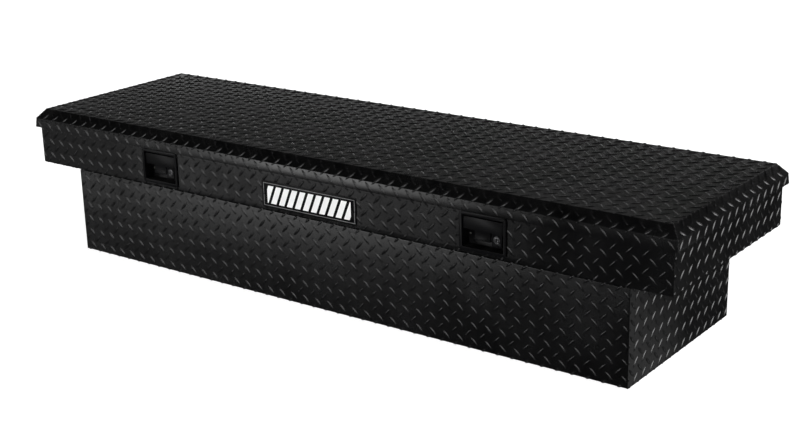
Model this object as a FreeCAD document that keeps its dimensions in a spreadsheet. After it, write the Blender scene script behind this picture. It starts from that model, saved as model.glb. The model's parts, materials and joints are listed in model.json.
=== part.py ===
"""Crossover truck tool box: folded tread-plate body, hinged lid, two paddle latches and two gas struts.

Millimetres. X runs along the box (right is +X, seen from the front), +Y points to the rear, +Z is up.
The origin is under the middle of the box, on the plane that the tub stands on.
"""
import FreeCAD, Part
import math
import os
import re
import Sketcher
from FreeCAD import Placement, Rotation, Vector

doc = FreeCAD.newDocument("TruckToolBox")
sheet = doc.addObject("Spreadsheet::Sheet", "Dimensions")

DIMENSIONS = [
    # alias, value, meaning
    ("lid_length", 1778, "lid over its skirts"),
    ("lid_depth", 525, "lid over its skirts, front to rear"),
    ("overall_height", 347, "top of the lid"),
    ("skirt_bottom", 301, "lower edge of the lid's skirt"),
    ("skirt_top", 324, "where the lid's bevel starts"),
    ("bevel_inset", 22, "how far the bevel runs in"),
    ("body_length", 1757, "upper body over the wings"),
    ("body_depth", 508, "upper body, front to rear"),
    ("wing_height", 209, "underside of the wings"),
    ("rim_height", 322, "top of the body's rim"),
    ("rim_width", 30, "inward flange of the rim"),
    ("tub_length", 1535, "tub between the wings"),
    ("tub_offset", 22, "tub's middle to the right of the lid's middle"),
    ("tub_rear_step", 50, "how far the tub's rear wall stands in from the body's"),
    ("joint_flange", 12, "flanges that join tub and upper body"),
    ("sheet_metal", 2, "thickness of the tread plate"),
    ("bolt_spacing_long", 1650, "wing bolt holes, along the box"),
    ("bolt_spacing_cross", 300, "wing bolt holes, front to rear"),
    ("bolt_hole_radius", 7, "wing bolt holes"),
    ("seal_width", 8, "rim seal"),
    ("seal_height", 6.7, "rim seal"),
    ("seal_inset", 20, "seal's outer edge in from the body's outside"),
    ("pan_height", 329, "underside of the lid's inner pan"),
    ("pan_gauge", 1.5, "thickness of the inner pan"),
    ("pan_inset", 25.5, "pan's edge in from the skirt"),
    ("stiffener_offset", 120, "hat stiffener from the lid's middle line"),
    ("stiffener_length", 1600, "hat stiffener"),
    ("hinge_rear", 257, "hinge axis behind the middle of the box"),
    ("hinge_height", 302, "hinge axis above the ground plane"),
    ("hinge_length", 1680, "piano hinge"),
    ("knuckle_length", 42, "one knuckle with its end gap"),
    ("knuckle_gap", 0.4, "gap between neighbouring knuckles"),
    ("knuckle_radius", 2.6, "outside of a knuckle"),
    ("hinge_pin_radius", 1.25, "hinge pin"),
    ("leaf_gauge", 1, "hinge leaf"),
    ("leaf_relief", 2.2, "leaf edge clear of the other leaf's knuckles"),
    ("box_leaf_width", 26, "leaf on the body, down from the axis"),
    ("lid_leaf_width", 20, "leaf on the lid, up from the axis"),
    ("hinge_rivet_spacing", 160, "rivets along the hinge"),
    ("rivet_radius", 2, "rivet shank"),
    ("rivet_head_radius", 3.5, "rivet head"),
    ("rivet_head", 1.2, "height of a rivet head"),
    ("running_gap", 0.05, "radial clearance of every running fit"),
    ("badge_length", 268, "badge plate"),
    ("badge_height", 62, "badge plate"),
    ("badge_middle", 247, "badge centre above the ground plane"),
    ("badge_gauge", 1.5, "badge plate"),
    ("latch_offset", 457, "latch centre from the middle of the box"),
    ("latch_middle", 257.5, "latch centre above the ground plane"),
    ("bezel_width", 113, "latch flange"),
    ("bezel_height", 82, "latch flange"),
    ("bezel_gauge", 2, "latch flange"),
    ("bezel_corner", 6, "corner radius of the latch flange"),
    ("gasket_gauge", 1, "gasket under the flange"),
    ("dish_width", 104, "latch dish, outside"),
    ("dish_height", 72, "latch dish, outside"),
    ("dish_wall", 2, "latch dish wall"),
    ("dish_depth", 26, "latch dish behind the panel's face"),
    ("dish_clearance", 1, "panel cut-out around the dish"),
    ("paddle_width", 95, "paddle plate"),
    ("paddle_gauge", 3.5, "paddle plate"),
    ("paddle_top", 30, "paddle's upper edge above the latch centre"),
    ("paddle_lower_edge", 4, "paddle's lower edge above the latch centre"),
    ("tongue_drop", 16, "end of the paddle's tongue below the latch centre"),
    ("lock_block_drop", 24, "end of the lock block below the latch centre"),
    ("lip_depth", 8, "folded lips of the paddle"),
    ("paddle_pin_radius", 2, "paddle pin"),
    ("paddle_pin_rise", 25, "paddle pin above the latch centre"),
    ("paddle_pin_inset", 7.5, "paddle pin behind the panel's face"),
    ("boss_radius", 4.5, "paddle's bosses around the pin"),
    ("boss_inner", 14, "inner ends of the bosses from the latch centre"),
    ("trip_arm_reach", 31, "end of the paddle's trip arm behind the pin"),
    ("trip_arm_height", 4, "trip arm"),
    ("lock_offset", 33, "lock from the latch centre, along the box"),
    ("lock_drop", 8, "lock below the latch centre"),
    ("lock_radius", 8, "lock barrel"),
    ("plug_radius", 6, "lock plug"),
    ("cam_length", 12, "lock cam"),
    ("spring_radius", 3.3, "paddle spring, middle of the wire"),
    ("spring_wire", 0.45, "paddle spring, radius of the wire"),
    ("pivot_radius", 4, "pivots of hook, pawl and struts, and the striker pin"),
    ("catch_gauge", 4, "hook and pawl plates"),
    ("catch_face", 33.5, "front of the hook and pawl plates behind the panel's face"),
    ("bracket_gauge", 2, "latch bracket"),
    ("bracket_gap", 0.2, "between latch bracket and catch plates"),
    ("bracket_bottom", 232, "lower edge of the latch bracket"),
    ("bracket_top", 304, "upper edge of the latch bracket"),
    ("bracket_half_width", 55.5, "latch bracket"),
    ("hook_offset", -44, "hook pivot from the latch centre"),
    ("hook_rise", 27, "hook pivot above the latch centre"),
    ("pawl_offset", 8, "pawl pivot from the latch centre"),
    ("pawl_rise", 2.5, "pawl pivot above the latch centre"),
    ("striker_offset", -20, "striker pin from the latch centre"),
    ("striker_rise", 41, "striker pin above the latch centre"),
    ("striker_face", 42, "front of the striker plate behind the panel's face"),
    ("striker_gauge", 2.5, "striker and strut brackets"),
    ("screw_radius", 2.5, "screw shank"),
    ("screw_head_radius", 4.5, "screw head"),
    ("screw_head", 2.8, "height of a screw head"),
    ("strut_plane", 744, "strut centre line from the middle of the tub"),
    ("strut_circle", 200, "both strut pivots lie this far from the hinge axis"),
    ("strut_lid_rise", 10, "lid pivot above the hinge axis"),
    ("strut_angle", 64, "degrees between the two strut pivots, lid closed"),
    ("eye_radius", 8, "eye at each end of a strut"),
    ("eye_width", 6, "eye at each end of a strut"),
    ("cylinder_radius", 9, "strut cylinder"),
    ("cylinder_wall", 1, "strut cylinder"),
    ("cylinder_foot", 14, "cylinder's closed end from its pivot"),
    ("cylinder_mouth", 200, "cylinder's open end from its pivot"),
    ("rod_radius", 4, "strut rod"),
    ("rod_length", 192, "rod's inner end from its pivot"),
    ("piston_length", 4, "piston on the rod"),
]

HOOK_OPENING = 30  # degrees that the hook stands open, turned to the left about its pivot

for row, (alias, value, meaning) in enumerate(DIMENSIONS, start=1):
    sheet.set(f"A{row}", meaning)
    sheet.set(f"B{row}", str(value))
    sheet.setAlias(f"B{row}", alias)
doc.recompute()

ALIASES = {alias for alias, value, meaning in DIMENSIONS}
SIDES = {"left": -1, "right": 1}
AXIS_TURN = {"X": Rotation(Vector(0, 1, 0), 90), "Y": Rotation(Vector(1, 0, 0), -90), "Z": Rotation()}
nodes = {}

# Lengths that several sub-parts share, as formulas over the sheet's aliases.
FRONT = "(-body_depth / 2)"
REAR = "(body_depth / 2)"
TUB_REAR = "(body_depth / 2 - tub_rear_step)"
PAN_TOP = "(pan_height + pan_gauge)"


# ---------------------------------------------------------------- helpers

def formula(text):
    """Turn a formula over aliases into one that points at the sheet."""
    def point_at_sheet(match):
        word = match.group(0)
        return "Dimensions." + word if word in ALIASES else word
    return re.sub(r"[a-z_]+", point_at_sheet, str(text))


def bind(item, prop, text):
    item.setExpression(prop, formula(text))


def size(alias):
    """A driving dimension as a number."""
    return float(sheet.get(alias))


def mirrored(side, inner, outer, middle="0"):
    """The X range from inner to outer on the right of a middle plane, or its mirror image on the left."""
    if side > 0:
        return (f"{middle} + ({inner})", f"{middle} + ({outer})")
    return (f"{middle} - ({outer})", f"{middle} - ({inner})")


def place(item, x, y, z):
    bind(item, "Placement.Base.x", x)
    bind(item, "Placement.Base.y", y)
    bind(item, "Placement.Base.z", z)


def box(label, x, y, z):
    """A block between two limits on each axis."""
    block = doc.addObject("Part::Box", label)
    for prop, (low, high) in (("Length", x), ("Width", y), ("Height", z)):
        bind(block, prop, f"({high}) - ({low})")
    place(block, x[0], y[0], z[0])
    return block


def cylinder(label, axis, start, radius, length):
    """A round bar that starts at a point and runs along +X, +Y or +Z."""
    bar = doc.addObject("Part::Cylinder", label)
    bind(bar, "Radius", radius)
    bind(bar, "Height", length)
    bar.Placement = Placement(Vector(), AXIS_TURN[axis])
    place(bar, *start)
    return bar


def fuse(label, pieces):
    whole = doc.addObject("Part::MultiFuse", label)
    whole.Shapes = pieces
    whole.Refine = True
    return whole


def group(label, pieces):
    """Separate solids in one object."""
    bundle = doc.addObject("Part::Compound", label)
    bundle.Links = pieces
    return bundle


def cut(label, base, tools):
    result = doc.addObject("Part::Cut", label)
    result.Base = base
    result.Tool = tools[0] if len(tools) == 1 else group(label + "_cuts", tools)
    return result


def node(name, item):
    """Declare a finished sub-part under the name of its file."""
    item.Label = name
    nodes[name] = item
    return item


def origin_feature(body, role):
    return next(f for f in body.Origin.OriginFeatures if f.Role == role)


def sketch_on(body, name, role, offset="0"):
    """A sketch on one of the body's own origin planes, moved along the plane's normal."""
    sketch = body.newObject("Sketcher::SketchObject", name)
    sketch.AttachmentSupport = [(origin_feature(body, role), "")]
    sketch.MapMode = "FlatFace"
    bind(sketch, "AttachmentOffset.Base.z", offset)
    return sketch


def outline(sketch, points):
    """A closed outline whose corners are held at formulas for their two coordinates."""
    count = len(points)
    starts = []
    for index in range(count):
        turn = 2 * math.pi * index / count
        starts.append(Vector(100 * math.cos(turn), 100 * math.sin(turn), 0))
    for index in range(count):
        sketch.addGeometry(Part.LineSegment(starts[index], starts[(index + 1) % count]))
    for index in range(count):
        sketch.addConstraint(Sketcher.Constraint("Coincident", index, 2, (index + 1) % count, 1))
    for index, (across, up) in enumerate(points):
        hold_point(sketch, index, 1, starts[index], across, up)


def hold_point(sketch, geometry, point, start, across, up):
    for kind, value, text in (("DistanceX", start.x, across), ("DistanceY", start.y, up)):
        number = sketch.addConstraint(Sketcher.Constraint(kind, -1, 1, geometry, point, value))
        bind(sketch, f"Constraints[{number}]", text)


def circle(sketch, across, up, radius):
    middle = Vector(1, 1, 0)
    index = sketch.addGeometry(Part.Circle(middle, Vector(0, 0, 1), 5))
    hold_point(sketch, index, 3, middle, across, up)
    number = sketch.addConstraint(Sketcher.Constraint("Radius", index, 5))
    bind(sketch, f"Constraints[{number}]", radius)


def pad(body, sketch, length, both_ways=False):
    feature = body.newObject("PartDesign::Pad", sketch.Name + "Pad")
    feature.Profile = sketch
    if both_ways:
        feature.SideType = "Symmetric"
    bind(feature, "Length", length)
    return feature


def round_corners(body, feature, axis, radius):
    """Round the upright corners of a pad: its straight edges along one axis."""
    doc.recompute()
    names = []
    for index, edge in enumerate(feature.Shape.Edges, start=1):
        way = edge.Vertexes[-1].Point - edge.Vertexes[0].Point
        if way.Length > 0 and abs(way.dot(axis)) > 0.999 * way.Length:
            names.append(f"Edge{index}")
    rounding = body.newObject("PartDesign::Fillet", feature.Name + "Round")
    rounding.Base = (feature, names)
    bind(rounding, "Radius", radius)
    return rounding


def folded_sheet(name, points, length):
    """A folded sheet with one cross-section all along X, centred on the box."""
    body = doc.addObject("PartDesign::Body", name)
    sketch = sketch_on(body, name + "_section", "YZ_Plane")
    outline(sketch, points)
    pad(body, sketch, length, both_ways=True)
    return body


# ---------------------------------------------------------------- body

def make_tub_wrap():
    """Front, floor and rear of the tub, folded from one sheet with a joint flange at each top edge."""
    inner_front = f"{FRONT} + sheet_metal"
    inner_rear = f"{TUB_REAR} - sheet_metal"
    under_flange = "wing_height - sheet_metal"
    points = [
        (FRONT, "0"), (TUB_REAR, "0"), (TUB_REAR, "wing_height"),
        (f"{TUB_REAR} - joint_flange", "wing_height"), (f"{TUB_REAR} - joint_flange", under_flange),
        (inner_rear, under_flange), (inner_rear, "sheet_metal"), (inner_front, "sheet_metal"),
        (inner_front, under_flange), (f"{FRONT} + joint_flange", under_flange),
        (f"{FRONT} + joint_flange", "wing_height"), (FRONT, "wing_height"),
    ]
    wrap = folded_sheet("tub_wrap", points, "tub_length - 2 * sheet_metal")
    bind(wrap, "Placement.Base.x", "tub_offset")
    node("tub_wrap", wrap)


def make_tub_end(name, side):
    """End wall of the tub, with a flange at the top that carries the wing pan."""
    outer = "tub_length / 2"
    inner = f"{outer} - sheet_metal"
    wall = box(name + "_wall", mirrored(side, inner, outer, "tub_offset"), (FRONT, TUB_REAR),
               ("0", "wing_height"))
    flange = box(name + "_flange", mirrored(side, f"{outer} - joint_flange", inner, "tub_offset"),
                 (f"{FRONT} + joint_flange", f"{TUB_REAR} - joint_flange"),
                 ("wing_height - sheet_metal", "wing_height"))
    folded = fuse(name + "_folded", [wall, flange])
    node(name, cut(name, folded, strut_box_fastening(name, side, "rivet_radius", inner, outer)))


def flange_strip(name, outer_y, inward, rim_bottom):
    """A strip of the rim's top flange along X, from the outer face inwards."""
    inner_y = f"{outer_y} + {inward} * rim_width"
    y_range = (outer_y, inner_y) if inward > 0 else (inner_y, outer_y)
    return box(name, ("-body_length / 2", "body_length / 2"), y_range, (rim_bottom, "rim_height"))


def pan_edge():
    """Where the wing pans start, on each side of the tub's middle."""
    return "tub_length / 2 - joint_flange"


def between_pans():
    return (f"tub_offset - ({pan_edge()})", f"tub_offset + ({pan_edge()})")


def make_collar_front():
    """Front of the upper body: panel, rim flange, joint flange, latch cut-outs and badge rivet holes."""
    name = "collar_front"
    panel = box(name + "_panel", ("-body_length / 2", "body_length / 2"), (FRONT, f"{FRONT} + sheet_metal"),
                ("wing_height", "rim_height"))
    rim = flange_strip(name + "_rim", FRONT, 1, "rim_height - sheet_metal")
    joint = box(name + "_joint", between_pans(), (FRONT, f"{FRONT} + joint_flange"),
                ("wing_height", "wing_height + sheet_metal"))
    tools = badge_rivet_bars(name, "rivet_radius", FRONT, "sheet_metal")
    for side_name, side in SIDES.items():
        tools.append(dish_block(f"{name}_cutout_{side_name}", side, "dish_clearance",
                                (f"{FRONT} - 1", f"{FRONT} + sheet_metal + 1")))
    node(name, cut(name, fuse(name + "_folded", [panel, rim, joint]), tools))


def make_collar_rear():
    """Rear of the upper body: wall, rim flange, and the shelf that reaches in to the tub's rear wall."""
    name = "collar_rear"
    wall = box(name + "_wall", ("-body_length / 2", "body_length / 2"), (f"{REAR} - sheet_metal", REAR),
               ("wing_height", "rim_height"))
    rim = flange_strip(name + "_rim", REAR, -1, "rim_height - sheet_metal")
    shelf = box(name + "_shelf", between_pans(), (f"{TUB_REAR} - joint_flange", REAR),
                ("wing_height", "wing_height + sheet_metal"))
    holes = hinge_rivet_bars(name, BOX_RIVET_Z, f"{REAR} - sheet_metal", "sheet_metal")
    node(name, cut(name, fuse(name + "_folded", [wall, rim, shelf]), holes))


def make_wing_pan(name, side):
    """One wing: floor with two bolt holes, end wall and a strip of the rim flange."""
    end = "body_length / 2"
    shift = "tub_offset" if side > 0 else "-tub_offset"
    floor_x = mirrored(side, f"{pan_edge()} + {shift}", end)
    wall_x = mirrored(side, f"{end} - sheet_metal", end)
    rim_x = mirrored(side, f"{end} - rim_width", end)
    inside = (f"{FRONT} + sheet_metal", f"{REAR} - sheet_metal")
    rim_y = (f"{FRONT} + rim_width", f"{REAR} - rim_width")
    floor = box(name + "_floor", floor_x, inside, ("wing_height", "wing_height + sheet_metal"))
    wall = box(name + "_wall", wall_x, inside, ("wing_height", "rim_height - sheet_metal"))
    skin = box(name + "_skin", wall_x, rim_y, ("rim_height - sheet_metal", "rim_height"))
    rim = box(name + "_rim", rim_x, rim_y, ("rim_height - sheet_metal", "rim_height"))
    holes = []
    for number, way in enumerate((-1, 1)):
        start = (f"tub_offset / 2 + {side} * bolt_spacing_long / 2", f"{way} * bolt_spacing_cross / 2",
                 "wing_height - 1")
        holes.append(cylinder(f"{name}_hole_{number}", "Z", start, "bolt_hole_radius", "sheet_metal + 2"))
    node(name, cut(name, fuse(name + "_folded", [floor, wall, skin, rim]), holes))


def make_rim_seal():
    """Weather strip that runs all round on the rim flange."""
    height = ("rim_height", "rim_height + seal_height")
    loops = []
    for label, inset in (("outer", "seal_inset"), ("inner", "(seal_inset + seal_width)")):
        half_length = f"body_length / 2 - {inset}"
        half_depth = f"body_depth / 2 - {inset}"
        loops.append(box(f"rim_seal_{label}", (f"-({half_length})", half_length),
                         (f"-({half_depth})", half_depth), height))
    node("rim_seal", cut("rim_seal", loops[0], [loops[1]]))


# ---------------------------------------------------------------- badge

def badge_rivet_bars(name, radius, face, length):
    """Two bars along Y at the badge's rivets."""
    bars = []
    for number, way in enumerate((-1, 1)):
        start = (f"{way} * (badge_length / 2 - 8)", face, "badge_middle")
        bars.append(cylinder(f"{name}_badge_bar_{number}", "Y", start, radius, length))
    return bars


def make_badge():
    """Blank name plate with rounded corners, and its two rivets."""
    body = doc.addObject("PartDesign::Body", "badge_plate")
    sketch = sketch_on(body, "badge_outline", "XZ_Plane", f"-({FRONT})")
    half = "badge_length / 2"
    low = "badge_middle - badge_height / 2"
    high = "badge_middle + badge_height / 2"
    outline(sketch, [(f"-{half}", low), (half, low), (half, high), (f"-{half}", high)])
    for number, way in enumerate((-1, 1)):
        circle(sketch, f"{way} * (badge_length / 2 - 8)", "badge_middle", "rivet_radius")
    plate = pad(body, sketch, "badge_gauge")
    round_corners(body, plate, Vector(0, 1, 0), "bezel_corner")
    node("badge_plate", body)

    back = f"{FRONT} + sheet_metal"
    front_face = f"{FRONT} - badge_gauge"
    shanks = badge_rivet_bars("shank", "rivet_radius", front_face, "badge_gauge + sheet_metal")
    outer_heads = badge_rivet_bars("head", "rivet_head_radius", f"{front_face} - rivet_head", "rivet_head")
    inner_heads = badge_rivet_bars("tail", "rivet_head_radius", back, "rivet_head")
    rivets = []
    for number, pieces in enumerate(zip(shanks, outer_heads, inner_heads)):
        rivets.append(fuse(f"badge_rivet_{number}", list(pieces)))
    node("badge_rivets", group("badge_rivets", rivets))


# ---------------------------------------------------------------- hinge

BOX_RIVET_Z = "hinge_height - box_leaf_width * 0.6"
LID_RIVET_Z = "hinge_height + lid_leaf_width * 0.7"
LID_SKIRT_IN = "(lid_depth / 2 - sheet_metal)"
HINGE_RIVETS = 10


def hinge_rivet_bars(name, z, face, length, radius="rivet_radius"):
    """Bars along Y, evenly spaced along the hinge."""
    bars = []
    for number in range(HINGE_RIVETS):
        start = (f"({number} - {(HINGE_RIVETS - 1) / 2}) * hinge_rivet_spacing", face, z)
        bars.append(cylinder(f"{name}_hinge_bar_{number}", "Y", start, radius, length))
    return bars


def make_hinge_leaf(name, leaf_y, leaf_z, web_z, first, rivet_z):
    """One leaf: a long strip with every second knuckle on it, bored for the pin and the rivets."""
    body = doc.addObject("PartDesign::Body", name)
    strip_sketch = sketch_on(body, name + "_strip", "YZ_Plane")
    outline(strip_sketch, [(leaf_y[0], leaf_z[0]), (leaf_y[1], leaf_z[0]), (leaf_y[1], leaf_z[1]),
                           (leaf_y[0], leaf_z[1])])
    pad(body, strip_sketch, "hinge_length", both_ways=True)

    start = f"-hinge_length / 2 + {first} * knuckle_length + knuckle_gap / 2"
    knuckle_sketch = sketch_on(body, name + "_knuckle", "YZ_Plane", start)
    circle(knuckle_sketch, "hinge_rear", "hinge_height", "knuckle_radius")
    knuckle = pad(body, knuckle_sketch, "knuckle_length - knuckle_gap")
    web_sketch = sketch_on(body, name + "_web", "YZ_Plane", start)
    outline(web_sketch, [(leaf_y[0], web_z[0]), (leaf_y[1], web_z[0]), (leaf_y[1], web_z[1]),
                         (leaf_y[0], web_z[1])])
    web = pad(body, web_sketch, "knuckle_length - knuckle_gap")
    doc.recompute()

    count = round(size("hinge_length") / size("knuckle_length") / 2)
    row = body.newObject("PartDesign::LinearPattern", name + "_row")
    row.Originals = [knuckle, web]
    row.Direction = (origin_feature(body, "X_Axis"), [""])
    row.Occurrences = count
    bind(row, "Length", f"2 * knuckle_length * {count - 1}")
    body.Tip = row
    doc.recompute()

    bore_length = "hinge_length + 10"
    bore = cylinder(name + "_bore", "X", ("-hinge_length / 2 - 5", "hinge_rear", "hinge_height"),
                    "hinge_pin_radius + running_gap", bore_length)
    holes = hinge_rivet_bars(name, rivet_z, leaf_y[0], "leaf_gauge")
    node(name, cut(name, body, [bore] + holes))


def make_hinge():
    """Full-length piano hinge behind the upper body, hidden by the lid's rear skirt."""
    box_leaf_y = (REAR, f"{REAR} + leaf_gauge")
    make_hinge_leaf("hinge_box_leaf", box_leaf_y, ("hinge_height - box_leaf_width", BOX_LEAF_EDGE),
                    (f"{BOX_LEAF_EDGE} - 1", "hinge_height"), 0, BOX_RIVET_Z)
    lid_leaf_y = (f"{LID_SKIRT_IN} - leaf_gauge", LID_SKIRT_IN)
    make_hinge_leaf("hinge_lid_leaf", lid_leaf_y, (LID_LEAF_EDGE, "hinge_height + lid_leaf_width"),
                    ("hinge_height", f"{LID_LEAF_EDGE} + 1"), 1, LID_RIVET_Z)
    node("hinge_pin", cylinder("hinge_pin", "X", ("-hinge_length / 2", "hinge_rear", "hinge_height"),
                               "hinge_pin_radius", "hinge_length"))

    box_in = f"{REAR} - sheet_metal"
    box_out = f"{REAR} + leaf_gauge"
    make_hinge_rivets("hinge_box_rivets", BOX_RIVET_Z, box_in, "sheet_metal + leaf_gauge",
                      [f"{box_in} - rivet_head", box_out])
    lid_in = f"{LID_SKIRT_IN} - leaf_gauge"
    make_hinge_rivets("hinge_lid_rivets", LID_RIVET_Z, lid_in, "sheet_metal + leaf_gauge",
                      [f"{lid_in} - rivet_head"])


BOX_LEAF_EDGE = "hinge_height - leaf_relief"
LID_LEAF_EDGE = "hinge_height + leaf_relief"


def make_hinge_rivets(name, z, face, length, head_faces):
    """Rivets through a leaf and its sheet, with a head at each listed face."""
    bars = [hinge_rivet_bars(name + "_shank", z, face, length)]
    for number, head_face in enumerate(head_faces):
        bars.append(hinge_rivet_bars(f"{name}_head_{number}", z, head_face, "rivet_head",
                                     "rivet_head_radius"))
    rivets = [fuse(f"{name}_{number}", list(pieces)) for number, pieces in enumerate(zip(*bars))]
    node(name, group(name, rivets))


# ---------------------------------------------------------------- lid

def lid_form(name, inset, bottom, shoulder, top, shoulder_inset):
    """The lid's outer or inner form: a straight skirt with a bevelled top."""
    half_length = f"(lid_length / 2 - {inset})"
    half_depth = f"(lid_depth / 2 - {inset})"
    skirt = box(name + "_skirt", (f"-{half_length}", half_length), (f"-{half_depth}", half_depth),
                (bottom, shoulder))
    bevel = doc.addObject("Part::Wedge", name + "_bevel")
    bevel.Placement = Placement(Vector(), Rotation(Vector(1, 0, 0), 90))
    limits = {
        "Xmin": f"-{half_length}", "Xmax": half_length, "Zmin": f"-{half_depth}", "Zmax": half_depth,
        "Ymin": shoulder, "Ymax": top,
        "X2min": f"-(lid_length / 2 - {shoulder_inset})", "X2max": f"lid_length / 2 - {shoulder_inset}",
        "Z2min": f"-(lid_depth / 2 - {shoulder_inset})", "Z2max": f"lid_depth / 2 - {shoulder_inset}",
    }
    for prop, text in limits.items():
        bind(bevel, prop, text)
    return fuse(name, [skirt, bevel])


def make_lid_skin():
    """Outer shell of the lid, with rivet holes in its rear skirt."""
    outer = lid_form("lid_outer", "0", "skirt_bottom", "skirt_top", "overall_height", "bevel_inset")
    inner = lid_form("lid_inner", "sheet_metal", "skirt_bottom - 1", "skirt_top - 0.4 * sheet_metal",
                     "overall_height - sheet_metal", "(bevel_inset + 0.4 * sheet_metal)")
    holes = hinge_rivet_bars("lid_skin", LID_RIVET_Z, LID_SKIRT_IN, "sheet_metal")
    node("lid_skin", cut("lid_skin", outer, [inner] + holes))


def make_lid_inner_pan():
    """Shallow tray that closes the lid from below, its edges turned up to the skin."""
    half_length = "(lid_length / 2 - pan_inset)"
    half_depth = "(lid_depth / 2 - pan_inset)"
    top = "overall_height - sheet_metal"
    outer = box("pan_outer", (f"-{half_length}", half_length), (f"-{half_depth}", half_depth),
                ("pan_height", top))
    inner = box("pan_inner", (f"-{half_length} + pan_gauge", f"{half_length} - pan_gauge"),
                (f"-{half_depth} + pan_gauge", f"{half_depth} - pan_gauge"), (PAN_TOP, f"{top} + 1"))
    holes = striker_screw_bars("pan_striker", "screw_radius", "pan_height - 1", "pan_gauge + 2")
    holes += strut_lid_screw_bars("pan_strut", "screw_radius", "pan_height - 1", "pan_gauge + 2")
    node("lid_inner_pan", cut("lid_inner_pan", outer, [inner] + holes))


def make_lid_stiffener(name, way):
    """Hat section between the pan and the skin: two feet, two webs and a crown."""
    middle = f"{way} * stiffener_offset"
    crown = "(overall_height - sheet_metal)"
    foot, web, gauge = 30, 14, 1.5
    points = [
        (-foot, PAN_TOP), (-web + gauge, PAN_TOP), (-web + gauge, f"{crown} - {gauge}"),
        (web - gauge, f"{crown} - {gauge}"), (web - gauge, PAN_TOP), (foot, PAN_TOP),
        (foot, f"{PAN_TOP} + {gauge}"), (web, f"{PAN_TOP} + {gauge}"), (web, crown),
        (-web, crown), (-web, f"{PAN_TOP} + {gauge}"), (-foot, f"{PAN_TOP} + {gauge}"),
    ]
    placed = [(f"{middle} + ({across})", up) for across, up in points]
    node(name, folded_sheet(name, placed, "stiffener_length"))


# ---------------------------------------------------------------- latches

def latch_x(side, shift="0"):
    """A place along the box, measured from a latch's centre."""
    return f"({side} * latch_offset + ({shift}))"


def latch_span(side, low, high):
    return (latch_x(side, low), latch_x(side, high))


def latch_z(rise):
    return f"(latch_middle + ({rise}))"


def latch_span_z(low, high):
    return (latch_z(low), latch_z(high))


def behind(depth):
    """A plane behind the panel's outer face."""
    return f"({FRONT} + ({depth}))"


def dish_block(label, side, growth, y):
    """The dish's outer rectangle as a block, grown by a margin."""
    half_width = f"(dish_width / 2 + {growth})"
    half_height = f"(dish_height / 2 + {growth})"
    return box(label, latch_span(side, f"-{half_width}", half_width), y,
               latch_span_z(f"-{half_height}", half_height))


def bezel_plate(name, side, face, gauge, margin, hole_growth):
    """A rounded rectangle with a rectangular hole, parallel to the front: the flange or its gasket."""
    body = doc.addObject("PartDesign::Body", name)
    sketch = sketch_on(body, name + "_outline", "XZ_Plane", f"-({face})")
    half_width = f"(bezel_width / 2 - {margin})"
    half_height = f"(bezel_height / 2 - {margin})"
    x_low, x_high = latch_span(side, f"-{half_width}", half_width)
    z_low, z_high = latch_span_z(f"-{half_height}", half_height)
    outline(sketch, [(x_low, z_low), (x_high, z_low), (x_high, z_high), (x_low, z_high)])
    plate = pad(body, sketch, gauge)
    round_corners(body, plate, Vector(0, 1, 0), "bezel_corner")
    hole = dish_block(name + "_hole", side, hole_growth, (f"{face} - {gauge} - 1", f"{face} + 1"))
    return body, hole


DISH_SCREWS = (("-46", "-13.5"), ("40", "-13.5"))
DISH_BACK = "(dish_depth - dish_wall)"
BRACKET_FACE = "(catch_face - bracket_gap - bracket_gauge)"


def make_latch_dish(name, side):
    """Pressed dish with a flange that laps the panel, a slot for the trip arm and two screw bosses."""
    flange, flange_hole = bezel_plate(name + "_flange", side, behind("-gasket_gauge"), "bezel_gauge", "0",
                                      "-dish_wall")
    shell = dish_block(name + "_shell", side, "0", (behind("-gasket_gauge - bezel_gauge / 2"),
                                                    behind("dish_depth")))
    bosses = []
    bores = []
    for number, (shift, rise) in enumerate(DISH_SCREWS):
        start_x = latch_x(side, shift)
        bosses.append(cylinder(f"{name}_boss_{number}", "Y", (start_x, behind(DISH_BACK), latch_z(rise)),
                               "screw_head_radius", f"{BRACKET_FACE} - {DISH_BACK}"))
        bores.append(cylinder(f"{name}_bore_{number}", "Y", (start_x, behind(f"{DISH_BACK} - 1"),
                                                             latch_z(rise)), "screw_radius", "10"))
    hollow = dish_block(name + "_hollow", side, "-dish_wall", (behind("-10"), behind(DISH_BACK)))
    slot = box(name + "_slot", latch_span(side, "-23", "-11"), (behind("20"), behind("dish_depth + 1")),
               latch_span_z("11", "29"))
    pin_hole = cylinder(name + "_pin_hole", "X", (latch_x(side, "-60"), behind("paddle_pin_inset"),
                                                  latch_z("paddle_pin_rise")), "paddle_pin_radius", "120")
    whole = fuse(name + "_whole", [flange, shell] + bosses)
    node(name, cut(name, whole, [hollow, flange_hole, slot, pin_hole] + bores))


def make_latch_gasket(name, side):
    """Flat gasket between the dish's flange and the panel."""
    plate, hole = bezel_plate(name + "_plate", side, FRONT, "gasket_gauge", "1", "dish_clearance")
    node(name, cut(name, plate, [hole]))


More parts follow.
